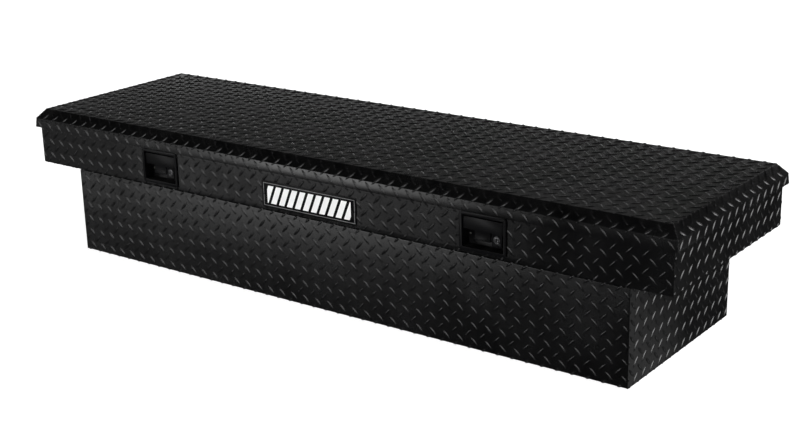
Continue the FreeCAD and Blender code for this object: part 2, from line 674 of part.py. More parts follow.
def make_latch_bracket(name, side):
    """Clamp bracket behind the dish: it carries the hook and the pawl, and its legs bear on the panel."""
    z_range = ("bracket_bottom", "bracket_top")
    plate_y = (behind(BRACKET_FACE), behind(f"{BRACKET_FACE} + bracket_gauge"))
    plate = box(name + "_plate", latch_span(side, "-bracket_half_width", "bracket_half_width"), plate_y,
                z_range)
    leg_y = (behind("sheet_metal"), behind(BRACKET_FACE))
    leg_left = box(name + "_leg_left", latch_span(side, "-bracket_half_width",
                                                  "-bracket_half_width + bracket_gauge"), leg_y, z_range)
    leg_right = box(name + "_leg_right", latch_span(side, "bracket_half_width - bracket_gauge",
                                                    "bracket_half_width"), leg_y, z_range)
    window = box(name + "_window", latch_span(side, "-23", "-11"),
                 (behind(f"{BRACKET_FACE} - 1"), behind(f"{BRACKET_FACE} + bracket_gauge + 1")),
                 latch_span_z("5", "29"))
    tools = [window]
    for number, (shift, rise) in enumerate(DISH_SCREWS):
        tools.append(bracket_bar(f"{name}_screw_{number}", side, shift, rise, "screw_radius"))
    tools.append(bracket_bar(name + "_hook_bar", side, "hook_offset", "hook_rise", "pivot_radius"))
    tools.append(bracket_bar(name + "_pawl_bar", side, "pawl_offset", "pawl_rise", "pivot_radius"))
    node(name, cut(name, fuse(name + "_folded", [plate, leg_left, leg_right]), tools))


def bracket_bar(label, side, shift, rise, radius):
    start = (latch_x(side, shift), behind(f"{BRACKET_FACE} - 1"), latch_z(rise))
    return cylinder(label, "Y", start, radius, "bracket_gauge + 2")


def make_latch_screws():
    """Screws that pull each bracket up to its dish."""
    screws = []
    for side_name, side in SIDES.items():
        for number, (shift, rise) in enumerate(DISH_SCREWS):
            label = f"latch_screw_{side_name}_{number}"
            head_face = f"{BRACKET_FACE} + bracket_gauge"
            shank = cylinder(label + "_shank", "Y", (latch_x(side, shift), behind(DISH_BACK), latch_z(rise)),
                             "screw_radius", f"{head_face} - {DISH_BACK}")
            head = cylinder(label + "_head", "Y", (latch_x(side, shift), behind(head_face), latch_z(rise)),
                            "screw_head_radius", "screw_head")
            screws.append(fuse(label, [shank, head]))
    node("latch_screws", group("latch_screws", screws))


def make_latch_rivets():
    """Shouldered rivets on which the hooks and pawls turn."""
    rivets = []
    for side_name, side in SIDES.items():
        for piece in ("hook", "pawl"):
            label = f"{piece}_rivet_{side_name}"
            x = latch_x(side, f"{piece}_offset")
            z = latch_z(f"{piece}_rise")
            tail_face = "catch_face + catch_gauge + bracket_gap"
            shank = cylinder(label + "_shank", "Y", (x, behind(BRACKET_FACE), z), "pivot_radius",
                             f"{tail_face} - {BRACKET_FACE}")
            head = cylinder(label + "_head", "Y", (x, behind(f"{BRACKET_FACE} - 1.5"), z),
                            "1.5 * pivot_radius", "1.5")
            tail = cylinder(label + "_tail", "Y", (x, behind(tail_face), z), "1.5 * pivot_radius", "1.5")
            rivets.append(fuse(label, [shank, head, tail]))
    node("latch_rivets", group("latch_rivets", rivets))


def make_paddle(name, side):
    """Pull paddle: upper plate, finger tongue, lock block, two bosses on the pin and the trip arm."""
    half = "paddle_width / 2"
    plate_y = (FRONT, behind("paddle_gauge"))
    lip_y = (FRONT, behind("lip_depth"))
    boss_y = (behind("paddle_gauge - 0.5"), behind("paddle_pin_inset"))
    pin_z = "paddle_pin_rise"
    pieces = [
        box(name + "_plate", latch_span(side, f"-{half}", half), plate_y,
            latch_span_z("paddle_lower_edge", "paddle_top")),
        box(name + "_lip", latch_span(side, f"-{half}", "-21"), lip_y,
            latch_span_z("paddle_lower_edge", "paddle_lower_edge + 2.5")),
        box(name + "_tongue", latch_span(side, "-21", "17"), (behind("1.5"), behind("paddle_gauge + 1.5")),
            latch_span_z("-tongue_drop", "paddle_lower_edge + 2")),
        box(name + "_tongue_lip", latch_span(side, "-21", "17"), (FRONT, lip_y[1]),
            latch_span_z("-tongue_drop", "-tongue_drop + 2.5")),
        box(name + "_lock_block", latch_span(side, "21", "45"), (FRONT, behind("16")),
            latch_span_z("-lock_block_drop", "paddle_pin_rise - boss_radius - 2")),
        box(name + "_arm", latch_span(side, "-20", "-boss_inner"),
            (behind("paddle_pin_inset"), behind("paddle_pin_inset + trip_arm_reach")),
            latch_span_z(f"{pin_z} - trip_arm_height / 2", f"{pin_z} + trip_arm_height / 2")),
    ]
    boss_spans = (("left", f"-{half} + 1.5", "-boss_inner"), ("right", "boss_inner", f"{half} - 1.5"))
    for end, low, high in boss_spans:
        pieces.append(box(f"{name}_rib_{end}", latch_span(side, low, high), boss_y,
                          latch_span_z(f"{pin_z} - boss_radius", f"{pin_z} + boss_radius")))
        pieces.append(cylinder(f"{name}_boss_{end}", "X",
                               (latch_x(side, low), behind("paddle_pin_inset"), latch_z(pin_z)),
                               "boss_radius", f"{half} - 1.5 - boss_inner"))
    bore = cylinder(name + "_bore", "X", (latch_x(side, "-60"), behind("paddle_pin_inset"), latch_z(pin_z)),
                    "paddle_pin_radius + running_gap", "120")
    seat = cylinder(name + "_seat", "Y", (latch_x(side, "lock_offset"), behind("-1"), latch_z("-lock_drop")),
                    "lock_radius", "18")
    node(name, cut(name, fuse(name + "_whole", pieces), [bore, seat]))


def make_paddle_pin(name, side):
    """Pin across the dish on which the paddle swings."""
    start = (latch_x(side, "-dish_width / 2"), behind("paddle_pin_inset"), latch_z("paddle_pin_rise"))
    node(name, cylinder(name, "X", start, "paddle_pin_radius", "dish_width"))


def make_paddle_spring(name, side):
    """Coil round the pin, between the paddle's bosses."""
    turns = 9
    radius = size("spring_radius")
    wire = size("spring_wire")
    length = 2 * size("boss_inner") - 4
    helix = Part.makeHelix(length / turns, length, radius)
    section = Part.Wire(Part.Circle(Vector(radius, 0, 0), Vector(0, 1, 0), wire).toShape())
    spring = doc.addObject("Part::Feature", name)
    spring.Shape = helix.makePipeShell([section], True, True)
    spring.Placement = Placement(Vector(), AXIS_TURN["X"])
    place(spring, latch_x(side, "2 - boss_inner"), behind("paddle_pin_inset"), latch_z("paddle_pin_rise"))
    node(name, spring)


def lock_bar(label, side, start, radius, length):
    return cylinder(label, "Y", (latch_x(side, "lock_offset"), behind(start), latch_z("-lock_drop")),
                    radius, length)


def make_lock_barrel(name, side):
    """Lock barrel, pressed into the paddle's block and standing slightly proud of it."""
    barrel = lock_bar(name + "_outside", side, "-0.8", "lock_radius", "16.8")
    bore = lock_bar(name + "_bore", side, "-2", "plug_radius + running_gap", "20")
    node(name, cut(name, barrel, [bore]))


def make_lock_plug(name, side):
    """Lock plug with a key slot in front and the cam behind."""
    plug = lock_bar(name + "_plug", side, "-0.5", "plug_radius", "19.5")
    cam = box(name + "_cam", latch_span(side, "lock_offset - 3", "lock_offset + 3"),
              (behind("16.4"), behind("19")), latch_span_z("-lock_drop", "cam_length - lock_drop"))
    key_slot = box(name + "_key_slot", latch_span(side, "lock_offset - 0.6", "lock_offset + 0.6"),
                   (behind("-1"), behind("7")), latch_span_z("-lock_drop - 4", "-lock_drop + 4"))
    node(name, cut(name, fuse(name + "_whole", [plug, cam]), [key_slot]))


def make_latch_hook(name, side):
    """Hook that closes over the striker pin, standing open; its tail rides past the pawl's nose."""
    body = doc.addObject("PartDesign::Body", name)
    sketch = sketch_on(body, name + "_outline", "XZ_Plane", "-catch_gauge")
    pin_across = "(striker_offset - hook_offset)"
    pin_up = "(striker_rise - hook_rise)"
    under_nose = f"{pin_up} + pivot_radius + 0.3"
    beside_pin = f"{pin_across} - pivot_radius - 1"
    outline(sketch, [
        (-8, -4), (-3, -9), (2.5, -23.2), (9.5, -23.2), (9, 2), (beside_pin, f"{pin_up} - pivot_radius"),
        (beside_pin, under_nose), (f"{pin_across} + 6", under_nose),
        (f"{pin_across} + 6", f"{under_nose} + 6"),
        (-2, f"{under_nose} + 6"), (-8, f"{under_nose}"),
    ])
    circle(sketch, 0, 0, "pivot_radius + running_gap")
    pad(body, sketch, "catch_gauge")
    body.Placement = Placement(Vector(), Rotation(Vector(0, -1, 0), HOOK_OPENING))
    place(body, latch_x(side, "hook_offset"), behind("catch_face"), latch_z("hook_rise"))
    node(name, body)


def make_latch_pawl(name, side):
    """Pawl whose nose stands behind the hook's tail; the trip arm pushes its finger down."""
    body = doc.addObject("PartDesign::Body", name)
    sketch = sketch_on(body, name + "_outline", "XZ_Plane", "-catch_gauge")
    outline(sketch, [
        (-42, -5), (-30, -7), (3, -8), (9, -3), (9, 4), (2, 8), (-18, 6), (-21, 19), (-27, 19), (-27, 4),
        (-31, 1.2), (-42, 1.2),
    ])
    circle(sketch, 0, 0, "pivot_radius + running_gap")
    pad(body, sketch, "catch_gauge")
    place(body, latch_x(side, "pawl_offset"), behind("catch_face"), latch_z("pawl_rise"))
    node(name, body)


def striker_screw_bars(name, radius, start, length):
    """Two upright bars at the screws of each striker."""
    bars = []
    for side_name, side in SIDES.items():
        for number, shift in enumerate((-15, 15)):
            x = latch_x(side, f"striker_offset + {shift}")
            bars.append(cylinder(f"{name}_{side_name}_{number}", "Z", (x, behind("striker_face + 16"), start),
                                 radius, length))
    return bars


def make_striker(name, side):
    """Angle plate under the lid with a pin that drops in front of the hook."""
    half = 24
    tab_half = 12
    foot = box(name + "_foot", latch_span(side, f"striker_offset - {half}", f"striker_offset + {half}"),
               (behind("striker_face"), behind("striker_face + 28")),
               ("pan_height - striker_gauge", "pan_height"))
    tab = box(name + "_tab", latch_span(side, f"striker_offset - {tab_half}", f"striker_offset + {tab_half}"),
              (behind("striker_face"), behind("striker_face + striker_gauge")),
              (latch_z("striker_rise - pivot_radius - 3"), "pan_height"))
    pin_start = "catch_face + 0.2"
    pin = cylinder(name + "_pin", "Y", (latch_x(side, "striker_offset"), behind(pin_start),
                                        latch_z("striker_rise")), "pivot_radius",
                   f"striker_face + striker_gauge - ({pin_start})")
    holes = []
    for number, shift in enumerate((-15, 15)):
        holes.append(cylinder(f"{name}_hole_{number}", "Z", (latch_x(side, f"striker_offset + {shift}"),
                                                             behind("striker_face + 16"), "pan_height - 5"),
                              "screw_radius", "10"))
    node(name, cut(name, fuse(name + "_whole", [foot, tab, pin]), holes))


def make_pan_screws(name, bars, plate_bottom):
    """Screws up into the pan: bars gives the same places for a radius, a start and a length."""
    shanks = bars(name + "_shank", "screw_radius", plate_bottom, f"{PAN_TOP} + 2 - ({plate_bottom})")
    heads = bars(name + "_head", "screw_head_radius", f"{plate_bottom} - screw_head", "screw_head")
    screws = [fuse(f"{name}_{number}", list(pair)) for number, pair in enumerate(zip(shanks, heads))]
    node(name, group(name, screws))


# ---------------------------------------------------------------- gas struts

# Both pivots lie on one circle about the hinge axis. The line between two points of a circle turns at half
# the rate of the arc between them, so cylinder and rod both turn at half the lid's rate and stay in line.
LID_PIVOT_ANGLE = "asin(strut_lid_rise / strut_circle)"
BOX_PIVOT_ANGLE = f"(strut_angle * 1 deg - {LID_PIVOT_ANGLE})"
STRUT_LID_Y = f"(hinge_rear - strut_circle * cos({LID_PIVOT_ANGLE}))"
STRUT_LID_Z = "(hinge_height + strut_lid_rise)"
STRUT_BOX_Y = f"(hinge_rear - strut_circle * cos({BOX_PIVOT_ANGLE}))"
STRUT_BOX_Z = f"(hinge_height - strut_circle * sin({BOX_PIVOT_ANGLE}))"


def strut_span(side, inner, outer):
    """An X range measured outwards from the strut's centre line."""
    return mirrored(side, f"strut_plane + {inner}", f"strut_plane + {outer}", "tub_offset")


def strut_box_fastening(name, side, radius, inner, outer):
    """Two bars along X through the tub's end wall, one above and one below the strut's pivot."""
    low, high = mirrored(side, inner, outer, "tub_offset")
    bars = []
    for number, shift in enumerate((-14, 14)):
        bars.append(cylinder(f"{name}_bar_{number}", "X", (low, STRUT_BOX_Y, f"{STRUT_BOX_Z} + {shift}"),
                             radius, f"({high}) - ({low})"))
    return bars


TUB_END_IN = "(tub_length / 2 - sheet_metal)"
TUB_END_PLATE = f"({TUB_END_IN} - striker_gauge)"


def pivot_stud(name, side, y, z, shoulder_from):
    """Stud along X through a strut's eye: shoulder, shank and head."""
    eye_half = "eye_width / 2"
    head_x = strut_span(side, f"-{eye_half} - 2.2", f"-{eye_half} - 0.2")
    shank_x = mirrored(side, f"strut_plane - {eye_half} - 0.2", shoulder_from, "tub_offset")
    shoulder_x = mirrored(side, f"strut_plane + {eye_half} + 0.2", shoulder_from, "tub_offset")
    bars = []
    for label, (low, high), radius in (("head", head_x, "eye_radius - 2"), ("shank", shank_x, "pivot_radius"),
                                       ("shoulder", shoulder_x, "eye_radius - 2")):
        bars.append(cylinder(f"{name}_{label}", "X", (low, y, z), radius, f"({high}) - ({low})"))
    return bars


def make_strut_box_bracket(name, side):
    """Plate on the tub's end wall with the cylinder's pivot stud."""
    plate = box(name + "_plate", mirrored(side, TUB_END_PLATE, TUB_END_IN, "tub_offset"),
                (f"{STRUT_BOX_Y} - 14", f"{STRUT_BOX_Y} + 14"),
                (f"{STRUT_BOX_Z} - 22", f"{STRUT_BOX_Z} + 22"))
    stud = pivot_stud(name, side, STRUT_BOX_Y, STRUT_BOX_Z, TUB_END_PLATE)
    holes = strut_box_fastening(name + "_hole", side, "rivet_radius", TUB_END_PLATE, TUB_END_IN)
    node(name, cut(name, fuse(name + "_whole", [plate] + stud), holes))


def make_strut_box_rivets():
    """Rivets through each bracket and the tub's end wall."""
    rivets = []
    for side_name, side in SIDES.items():
        outer = "tub_length / 2"
        spans = (("shank", TUB_END_PLATE, outer, "rivet_radius"),
                 ("head", outer, f"{outer} + rivet_head", "rivet_head_radius"),
                 ("tail", f"{TUB_END_PLATE} - rivet_head", TUB_END_PLATE, "rivet_head_radius"))
        bars = [strut_box_fastening(f"strut_rivet_{side_name}_{label}", side, radius, low, high)
                for label, low, high, radius in spans]
        for number, pieces in enumerate(zip(*bars)):
            rivets.append(fuse(f"strut_rivet_{side_name}_{number}", list(pieces)))
    node("strut_box_rivets", group("strut_box_rivets", rivets))


LID_TAB_IN = "(strut_plane + eye_width / 2 + 8)"


def strut_lid_screw_bars(name, radius, start, length):
    """Two upright bars at the screws of each lid bracket."""
    bars = []
    for side_name, side in SIDES.items():
        for number, shift in enumerate((-13, 13)):
            x = mirrored(side, f"{LID_TAB_IN} + 12", f"{LID_TAB_IN} + 12", "tub_offset")[0]
            bars.append(cylinder(f"{name}_{side_name}_{number}", "Z", (x, f"{STRUT_LID_Y} + {shift}", start),
                                 radius, length))
    return bars


def make_strut_lid_bracket(name, side):
    """Angle under the lid's pan with the rod's pivot stud."""
    y_range = (f"{STRUT_LID_Y} - 20", f"{STRUT_LID_Y} + 20")
    foot = box(name + "_foot", mirrored(side, LID_TAB_IN, f"{LID_TAB_IN} + 20", "tub_offset"), y_range,
               ("pan_height - striker_gauge", "pan_height"))
    tab = box(name + "_tab", mirrored(side, LID_TAB_IN, f"{LID_TAB_IN} + striker_gauge", "tub_offset"),
              (f"{STRUT_LID_Y} - 10", f"{STRUT_LID_Y} + 10"), (f"{STRUT_LID_Z} - 9", "pan_height"))
    stud = pivot_stud(name, side, STRUT_LID_Y, STRUT_LID_Z, LID_TAB_IN)
    holes = []
    for number, shift in enumerate((-13, 13)):
        x = mirrored(side, f"{LID_TAB_IN} + 12", f"{LID_TAB_IN} + 12", "tub_offset")[0]
        holes.append(cylinder(f"{name}_hole_{number}", "Z", (x, f"{STRUT_LID_Y} + {shift}", "pan_height - 5"),
                              "screw_radius", "10"))
    node(name, cut(name, fuse(name + "_whole", [foot, tab] + stud), holes))


def strut_turn(from_lid):
    """Turn that lays a part built along +Z on the line between the pivots, from one pivot to the other."""
    lid_angle = math.asin(size("strut_lid_rise") / size("strut_circle"))
    box_angle = math.radians(size("strut_angle")) - lid_angle
    across = size("strut_circle") * (math.cos(box_angle) - math.cos(lid_angle))
    up = size("strut_circle") * (math.sin(lid_angle) + math.sin(box_angle))
    lean = Rotation(Vector(1, 0, 0), -math.degrees(math.atan2(across, up)))
    if from_lid:
        return lean.multiply(Rotation(Vector(1, 0, 0), 180))
    return lean


def eye(name, reach):
    """Flat eye at the origin with a neck that runs up the part's own axis."""
    half = "eye_width / 2"
    ring = cylinder(name + "_ring", "X", (f"-{half}", "0", "0"), "eye_radius", "eye_width")
    neck = box(name + "_neck", (f"-{half}", half), (f"-{half}", half), ("0", reach))
    return [ring, neck]


def eye_bore(name):
    return cylinder(name + "_eye_bore", "X", ("-eye_width", "0", "0"), "pivot_radius + running_gap",
                    "2 * eye_width")


def make_strut_cylinder(name, side):
    """Pressure tube, closed at the eye and with a bored cap at its mouth."""
    tube = cylinder(name + "_tube", "Z", ("0", "0", "cylinder_foot"), "cylinder_radius",
                    "cylinder_mouth - cylinder_foot")
    hollow = cylinder(name + "_hollow", "Z", ("0", "0", "cylinder_foot + 4"),
                      "cylinder_radius - cylinder_wall", "cylinder_mouth - cylinder_foot - 8")
    rod_hole = cylinder(name + "_rod_hole", "Z", ("0", "0", "cylinder_mouth - 10"),
                        "rod_radius + running_gap", "20")
    solid = fuse(name + "_solid", eye(name, "cylinder_foot + 2") + [tube])
    whole = cut(name, solid, [eye_bore(name), hollow, rod_hole])
    whole.Placement = Placement(Vector(), strut_turn(False))
    place(whole, strut_middle(side), STRUT_BOX_Y, STRUT_BOX_Z)
    node(name, whole)


def make_strut_rod(name, side):
    """Rod with an eye outside and a piston inside the tube."""
    rod = cylinder(name + "_bar", "Z", ("0", "0", "eye_radius"), "rod_radius", "rod_length - eye_radius")
    piston = cylinder(name + "_piston", "Z", ("0", "0", "rod_length - piston_length"),
                      "cylinder_radius - cylinder_wall - running_gap", "piston_length")
    solid = fuse(name + "_solid", eye(name, "eye_radius + 3") + [rod, piston])
    whole = cut(name, solid, [eye_bore(name)])
    whole.Placement = Placement(Vector(), strut_turn(True))
    place(whole, strut_middle(side), STRUT_LID_Y, STRUT_LID_Z)
    node(name, whole)


def strut_middle(side):
    return f"tub_offset + {side} * strut_plane"


# ---------------------------------------------------------------- assembly

def make_all():
    make_tub_wrap()
    make_collar_front()
    make_collar_rear()
    make_rim_seal()
    make_badge()
    make_hinge()
    make_lid_skin()
    make_lid_inner_pan()
    make_lid_stiffener("lid_stiffener_front", -1)
    make_lid_stiffener("lid_stiffener_rear", 1)
    makers = {
        "tub_end": make_tub_end, "wing_pan": make_wing_pan, "latch_dish": make_latch_dish,
        "latch_gasket": make_latch_gasket, "latch_bracket": make_latch_bracket, "paddle": make_paddle,
        "paddle_pin": make_paddle_pin, "paddle_spring": make_paddle_spring,
        "lock_barrel": make_lock_barrel, "lock_plug": make_lock_plug, "latch_hook": make_latch_hook,
        "latch_pawl": make_latch_pawl, "striker": make_striker, "strut_cylinder": make_strut_cylinder,
        "strut_rod": make_strut_rod, "strut_box_bracket": make_strut_box_bracket,
        "strut_lid_bracket": make_strut_lid_bracket,
    }
    for name, maker in makers.items():
        for side_name, side in SIDES.items():
            maker(f"{name}_{side_name}", side)
    make_latch_screws()
    make_latch_rivets()
    make_strut_box_rivets()
    make_pan_screws("striker_screws", striker_screw_bars, "pan_height - striker_gauge")
    make_pan_screws("strut_lid_screws", strut_lid_screw_bars, "pan_height - striker_gauge")


def check_document():
    """Stop if any object failed, or any sub-part is missing, invalid or not made of closed solids."""
    for item in doc.Objects:
        if "Invalid" in item.State or "Error" in item.State:
            raise RuntimeError(f"{item.Name} failed: {item.State}")
    for name, item in nodes.items():
        shape = item.Shape
        if shape.isNull() or not shape.isValid() or not shape.Solids:
            raise RuntimeError(f"{name} has no valid solid")


def write_parts():
    os.makedirs("parts", exist_ok=True)
    for name, item in sorted(nodes.items()):
        item.Shape.exportStep(f"parts/{name}.step")
        limits = item.Shape.BoundBox
        print(f"{name}: {len(item.Shape.Solids)} solids, {item.Shape.Volume / 1000:.2f} cm3, "
              f"X {limits.XMin:.1f}..{limits.XMax:.1f} Y {limits.YMin:.1f}..{limits.YMax:.1f} "
              f"Z {limits.ZMin:.1f}..{limits.ZMax:.1f}")


make_all()
doc.recompute()
check_document()
write_parts()
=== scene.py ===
"""Looks of the truck tool box: tread-plate sheets, latches, badge, seal, fasteners, materials, light, camera.

Metres, in the row frame: X along the box, +Y to the rear (hinge side), +Z up. What is given here is what the
CAD leaves out, such as bends and tread bars.
"""

import json
import math

import bmesh
import bpy
from mathutils import Matrix, Vector


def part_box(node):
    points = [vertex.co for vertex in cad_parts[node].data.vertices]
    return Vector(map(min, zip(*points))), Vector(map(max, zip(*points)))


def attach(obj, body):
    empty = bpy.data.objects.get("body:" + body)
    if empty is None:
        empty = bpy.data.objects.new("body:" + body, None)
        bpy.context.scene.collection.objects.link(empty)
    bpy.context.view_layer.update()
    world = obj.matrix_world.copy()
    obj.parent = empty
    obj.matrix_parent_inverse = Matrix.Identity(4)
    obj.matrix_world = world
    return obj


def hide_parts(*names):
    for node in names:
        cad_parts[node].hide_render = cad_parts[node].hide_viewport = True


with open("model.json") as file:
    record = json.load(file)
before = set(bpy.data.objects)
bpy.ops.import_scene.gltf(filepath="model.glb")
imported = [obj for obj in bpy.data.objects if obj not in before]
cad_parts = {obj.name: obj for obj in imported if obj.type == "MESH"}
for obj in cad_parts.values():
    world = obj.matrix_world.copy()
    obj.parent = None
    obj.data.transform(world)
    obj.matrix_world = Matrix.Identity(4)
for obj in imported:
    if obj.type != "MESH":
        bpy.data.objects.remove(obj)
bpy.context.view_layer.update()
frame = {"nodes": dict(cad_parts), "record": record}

MM = 0.001
GAUGE = 2 * MM              # thickness of the tread plate
FLANGE = 12 * MM            # flanges that join tub and upper body
BEND = 2.6 * MM             # outer radius of the body's folds
LID_SHOULDER = 23 * MM      # the lid's upper fold lies this far above its lower one
LID_BEVEL = 22 * MM         # how far the lid's bevel runs in
LID_FLARE = 2 * MM          # how far the lid's skirt leans out at its foot
LID_BENDS = (3.5 * MM, 4.5 * MM)  # outer radii of the lid's folds: lower and upper
CORNER = 3 * MM             # radius of the lid's welded corners
WELD_GAP = 2.5 * MM         # bars stop this far from a welded corner
DISH_HALF_HEIGHT = 36 * MM  # the latch dish's body, without its flange
PITCH = 35 * MM             # cell of the tread pattern
BAR_HALF = 15.4 * MM        # half the length of a tread bar
BAR_WIDTH = 7.4 * MM
BAR_HEIGHT = 1.5 * MM
SUNK = 0.3 * MM             # how far a bar's underside lies in the sheet
BAR_REACH = 12.5 * MM       # a bar's extent along the sheet's two directions from its middle
SHARP = math.radians(28)    # edges over this angle stay crisp
BAR_SHARP = math.radians(62)
EASED_OVER = math.radians(32)  # edges over this angle are rounded
SPRING_TURNS = 9
SPRING_WIRE = 0.45 * MM     # radius of the paddle springs' wire
TINY = 1e-7                 # tolerance of a cut
SIDES = {"left": -1, "right": 1}


# ------------------------ small helpers

def split(bm, point, normal, clear_outer=False):
    geometry = bm.verts[:] + bm.edges[:] + bm.faces[:]
    bmesh.ops.bisect_plane(bm, geom=geometry, dist=TINY, plane_co=point, plane_no=normal,
                           clear_outer=clear_outer)


def cut_away(bm, point, normal):
    """Remove what lies beyond a plane and close the cut."""
    split(bm, point, normal, clear_outer=True)
    close_holes(bm)


def close_holes(bm):
    rims = [e for e in bm.edges if e.is_boundary]
    if rims:
        bmesh.ops.holes_fill(bm, edges=rims, sides=0)


def sides_of(rectangle):
    """A point on each side of a rectangle of the flat sheet, with the outward direction."""
    u0, u1, v0, v1 = rectangle
    return (((u0, 0, 0), (-1, 0, 0)), ((u1, 0, 0), (1, 0, 0)),
            ((0, v0, 0), (0, -1, 0)), ((0, v1, 0), (0, 1, 0)))


def overlaps(u, v, rectangle, reach):
    """Whether a point is within reach of a rectangle of the flat sheet."""
    u0, u1, v0, v1 = rectangle
    return u0 - reach < u < u1 + reach and v0 - reach < v < v1 + reach


def punch(bm, rectangle):
    """Remove what lies inside a rectangle of the flat sheet and close the cuts."""
    for point, normal in sides_of(rectangle):
        split(bm, point, normal)
    inside = [face for face in bm.faces if overlaps(*face.calc_center_median().xy, rectangle, 0)]
    bmesh.ops.delete(bm, geom=inside, context="FACES")
    close_holes(bm)


def bridge(bm, first, second):
    """Faces between two closed loops of points."""
    count = len(first)
    for i in range(count):
        j = (i + 1) % count
        bm.faces.new((first[i], first[j], second[j], second[i]))


def rounded_ring(half_x, half_y, radius, z, steps):
    """Points round a rectangle with round corners."""
    points = []
    for corner, (sign_x, sign_y) in enumerate(((1, 1), (-1, 1), (-1, -1), (1, -1))):
        centre = Vector((sign_x * (half_x - radius), sign_y * (half_y - radius)))
        for step in range(steps + 1):
            angle = math.pi / 2 * (corner + step / steps)
            points.append((centre.x + radius * math.cos(angle), centre.y + radius * math.sin(angle), z))
    return points


def soften(bm, sharp=SHARP):
    """Smooth shading that keeps the crisp edges crisp."""
    for face in bm.faces:
        face.smooth = True
    for edge in bm.edges:
        edge.smooth = edge.calc_face_angle(0) < sharp


def linked(name, data):
    """A new object in the scene."""
    item = bpy.data.objects.new(name, data)
    bpy.context.scene.collection.objects.link(item)
    return item


def object_from(bm, name):
    """Turn a bmesh into an object and free it."""
    mesh = bpy.data.meshes.new(name)
    bm.to_mesh(mesh)
    bm.free()
    return linked(name, mesh)


def piece_from(bm, name, body, slot, replaces=(), material=None):
    """A finished bmesh as a piece that rides on a body, in its slot's material unless another is named."""
    item = object_from(bm, name)
    item.data.materials.append(materials[material or slot])
    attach(item, body)
    if replaces:
        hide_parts(*replaces)


def box_bmesh(low, high):
    bm = bmesh.new()
    bmesh.ops.create_cube(bm, size=1)
    middle = (Vector(low) + Vector(high)) / 2
    span = Vector(high) - Vector(low)
    bmesh.ops.transform(bm, matrix=Matrix.Translation(middle) @ Matrix.Diagonal((*span, 1)), verts=bm.verts)
    return bm


def post_bmesh(middle, radius, depth, steps=32):
    """An upright round cutter."""
    bm = bmesh.new()
    bmesh.ops.create_cone(bm, cap_ends=True, segments=steps, radius1=radius, radius2=radius, depth=depth,
                          matrix=Matrix.Translation(middle))
    return bm


def subtract(bm, cutters):
    """The bmesh less its cutters, which are freed."""
    for cutter in cutters:
        pair = [object_from(part, "cutting") for part in (bm, cutter)]
        boolean = pair[0].modifiers.new("cut", "BOOLEAN")
        boolean.operation = "DIFFERENCE"
        boolean.solver = "EXACT"
        boolean.object = pair[1]
        bpy.context.view_layer.update()
        graph = bpy.context.evaluated_depsgraph_get()
        bm = bmesh.new()
        bm.from_mesh(pair[0].evaluated_get(graph).to_mesh())
        for item in pair:
            mesh = item.data
            bpy.data.objects.remove(item)
            bpy.data.meshes.remove(mesh)
    return bm


# ------------------------ materials

def node_tree(name):
    material = bpy.data.materials.new(name)
    material.use_nodes = True
    tree = material.node_tree
    return material, tree, tree.nodes["Principled BSDF"]


def add_node(tree, kind, **values):
    """A shader node whose inputs or properties are set by name."""
    made = tree.nodes.new(kind)
    for key, value in values.items():
        if key in made.inputs:
            made.inputs[key].default_value = value
        else:
            setattr(made, key, value)
    return made


def noise(tree, scale, detail=3.0, roughness=0.55):
    """Noise over the object's own coordinates, which are metres."""
    place = add_node(tree, "ShaderNodeTexCoord")
    made = add_node(tree, "ShaderNodeTexNoise", Scale=scale, Detail=detail, Roughness=roughness)
    tree.links.new(place.outputs["Object"], made.inputs["Vector"])
    return made.outputs["Fac"]


def spread(tree, source, low, high, start=0.3, end=0.7):
    """Map a 0 to 1 value onto a range."""
    made = add_node(tree, "ShaderNodeMapRange",
                    **{"From Min": start, "From Max": end, "To Min": low, "To Max": high})
    tree.links.new(source, made.inputs["Value"])
    return made.outputs["Result"]


def blend_colours(tree, share, first, second):
    """Two colours, each a tuple or a socket, mixed by a socket's value."""
    made = add_node(tree, "ShaderNodeMix", data_type="RGBA")
    tree.links.new(share, made.inputs["Factor"])
    for socket, value in ((made.inputs[6], first), (made.inputs[7], second)):
        if isinstance(value, tuple):
            socket.default_value = (*value, 1)
        else:
            tree.links.new(value, socket)
    return made.outputs[2]


def add_bump(tree, shader, layers):
    """Stack bumps: each layer is (height socket, strength, distance)."""
    below = None
    for height, strength, distance in layers:
        made = add_node(tree, "ShaderNodeBump", Strength=strength, Distance=distance)
        tree.links.new(height, made.inputs["Height"])
        if below is not None:
            tree.links.new(below, made.inputs["Normal"])
        below = made.outputs["Normal"]
    tree.links.new(below, shader.inputs["Normal"])


def maths(tree, operation, first, second=0):
    """A sum of sockets or plain numbers."""
    made = add_node(tree, "ShaderNodeMath", operation=operation)
    for socket, value in ((made.inputs[0], first), (made.inputs[1], second)):
        if isinstance(value, (int, float)):
            socket.default_value = value
        else:
            tree.links.new(value, socket)
    return made.outputs[0]


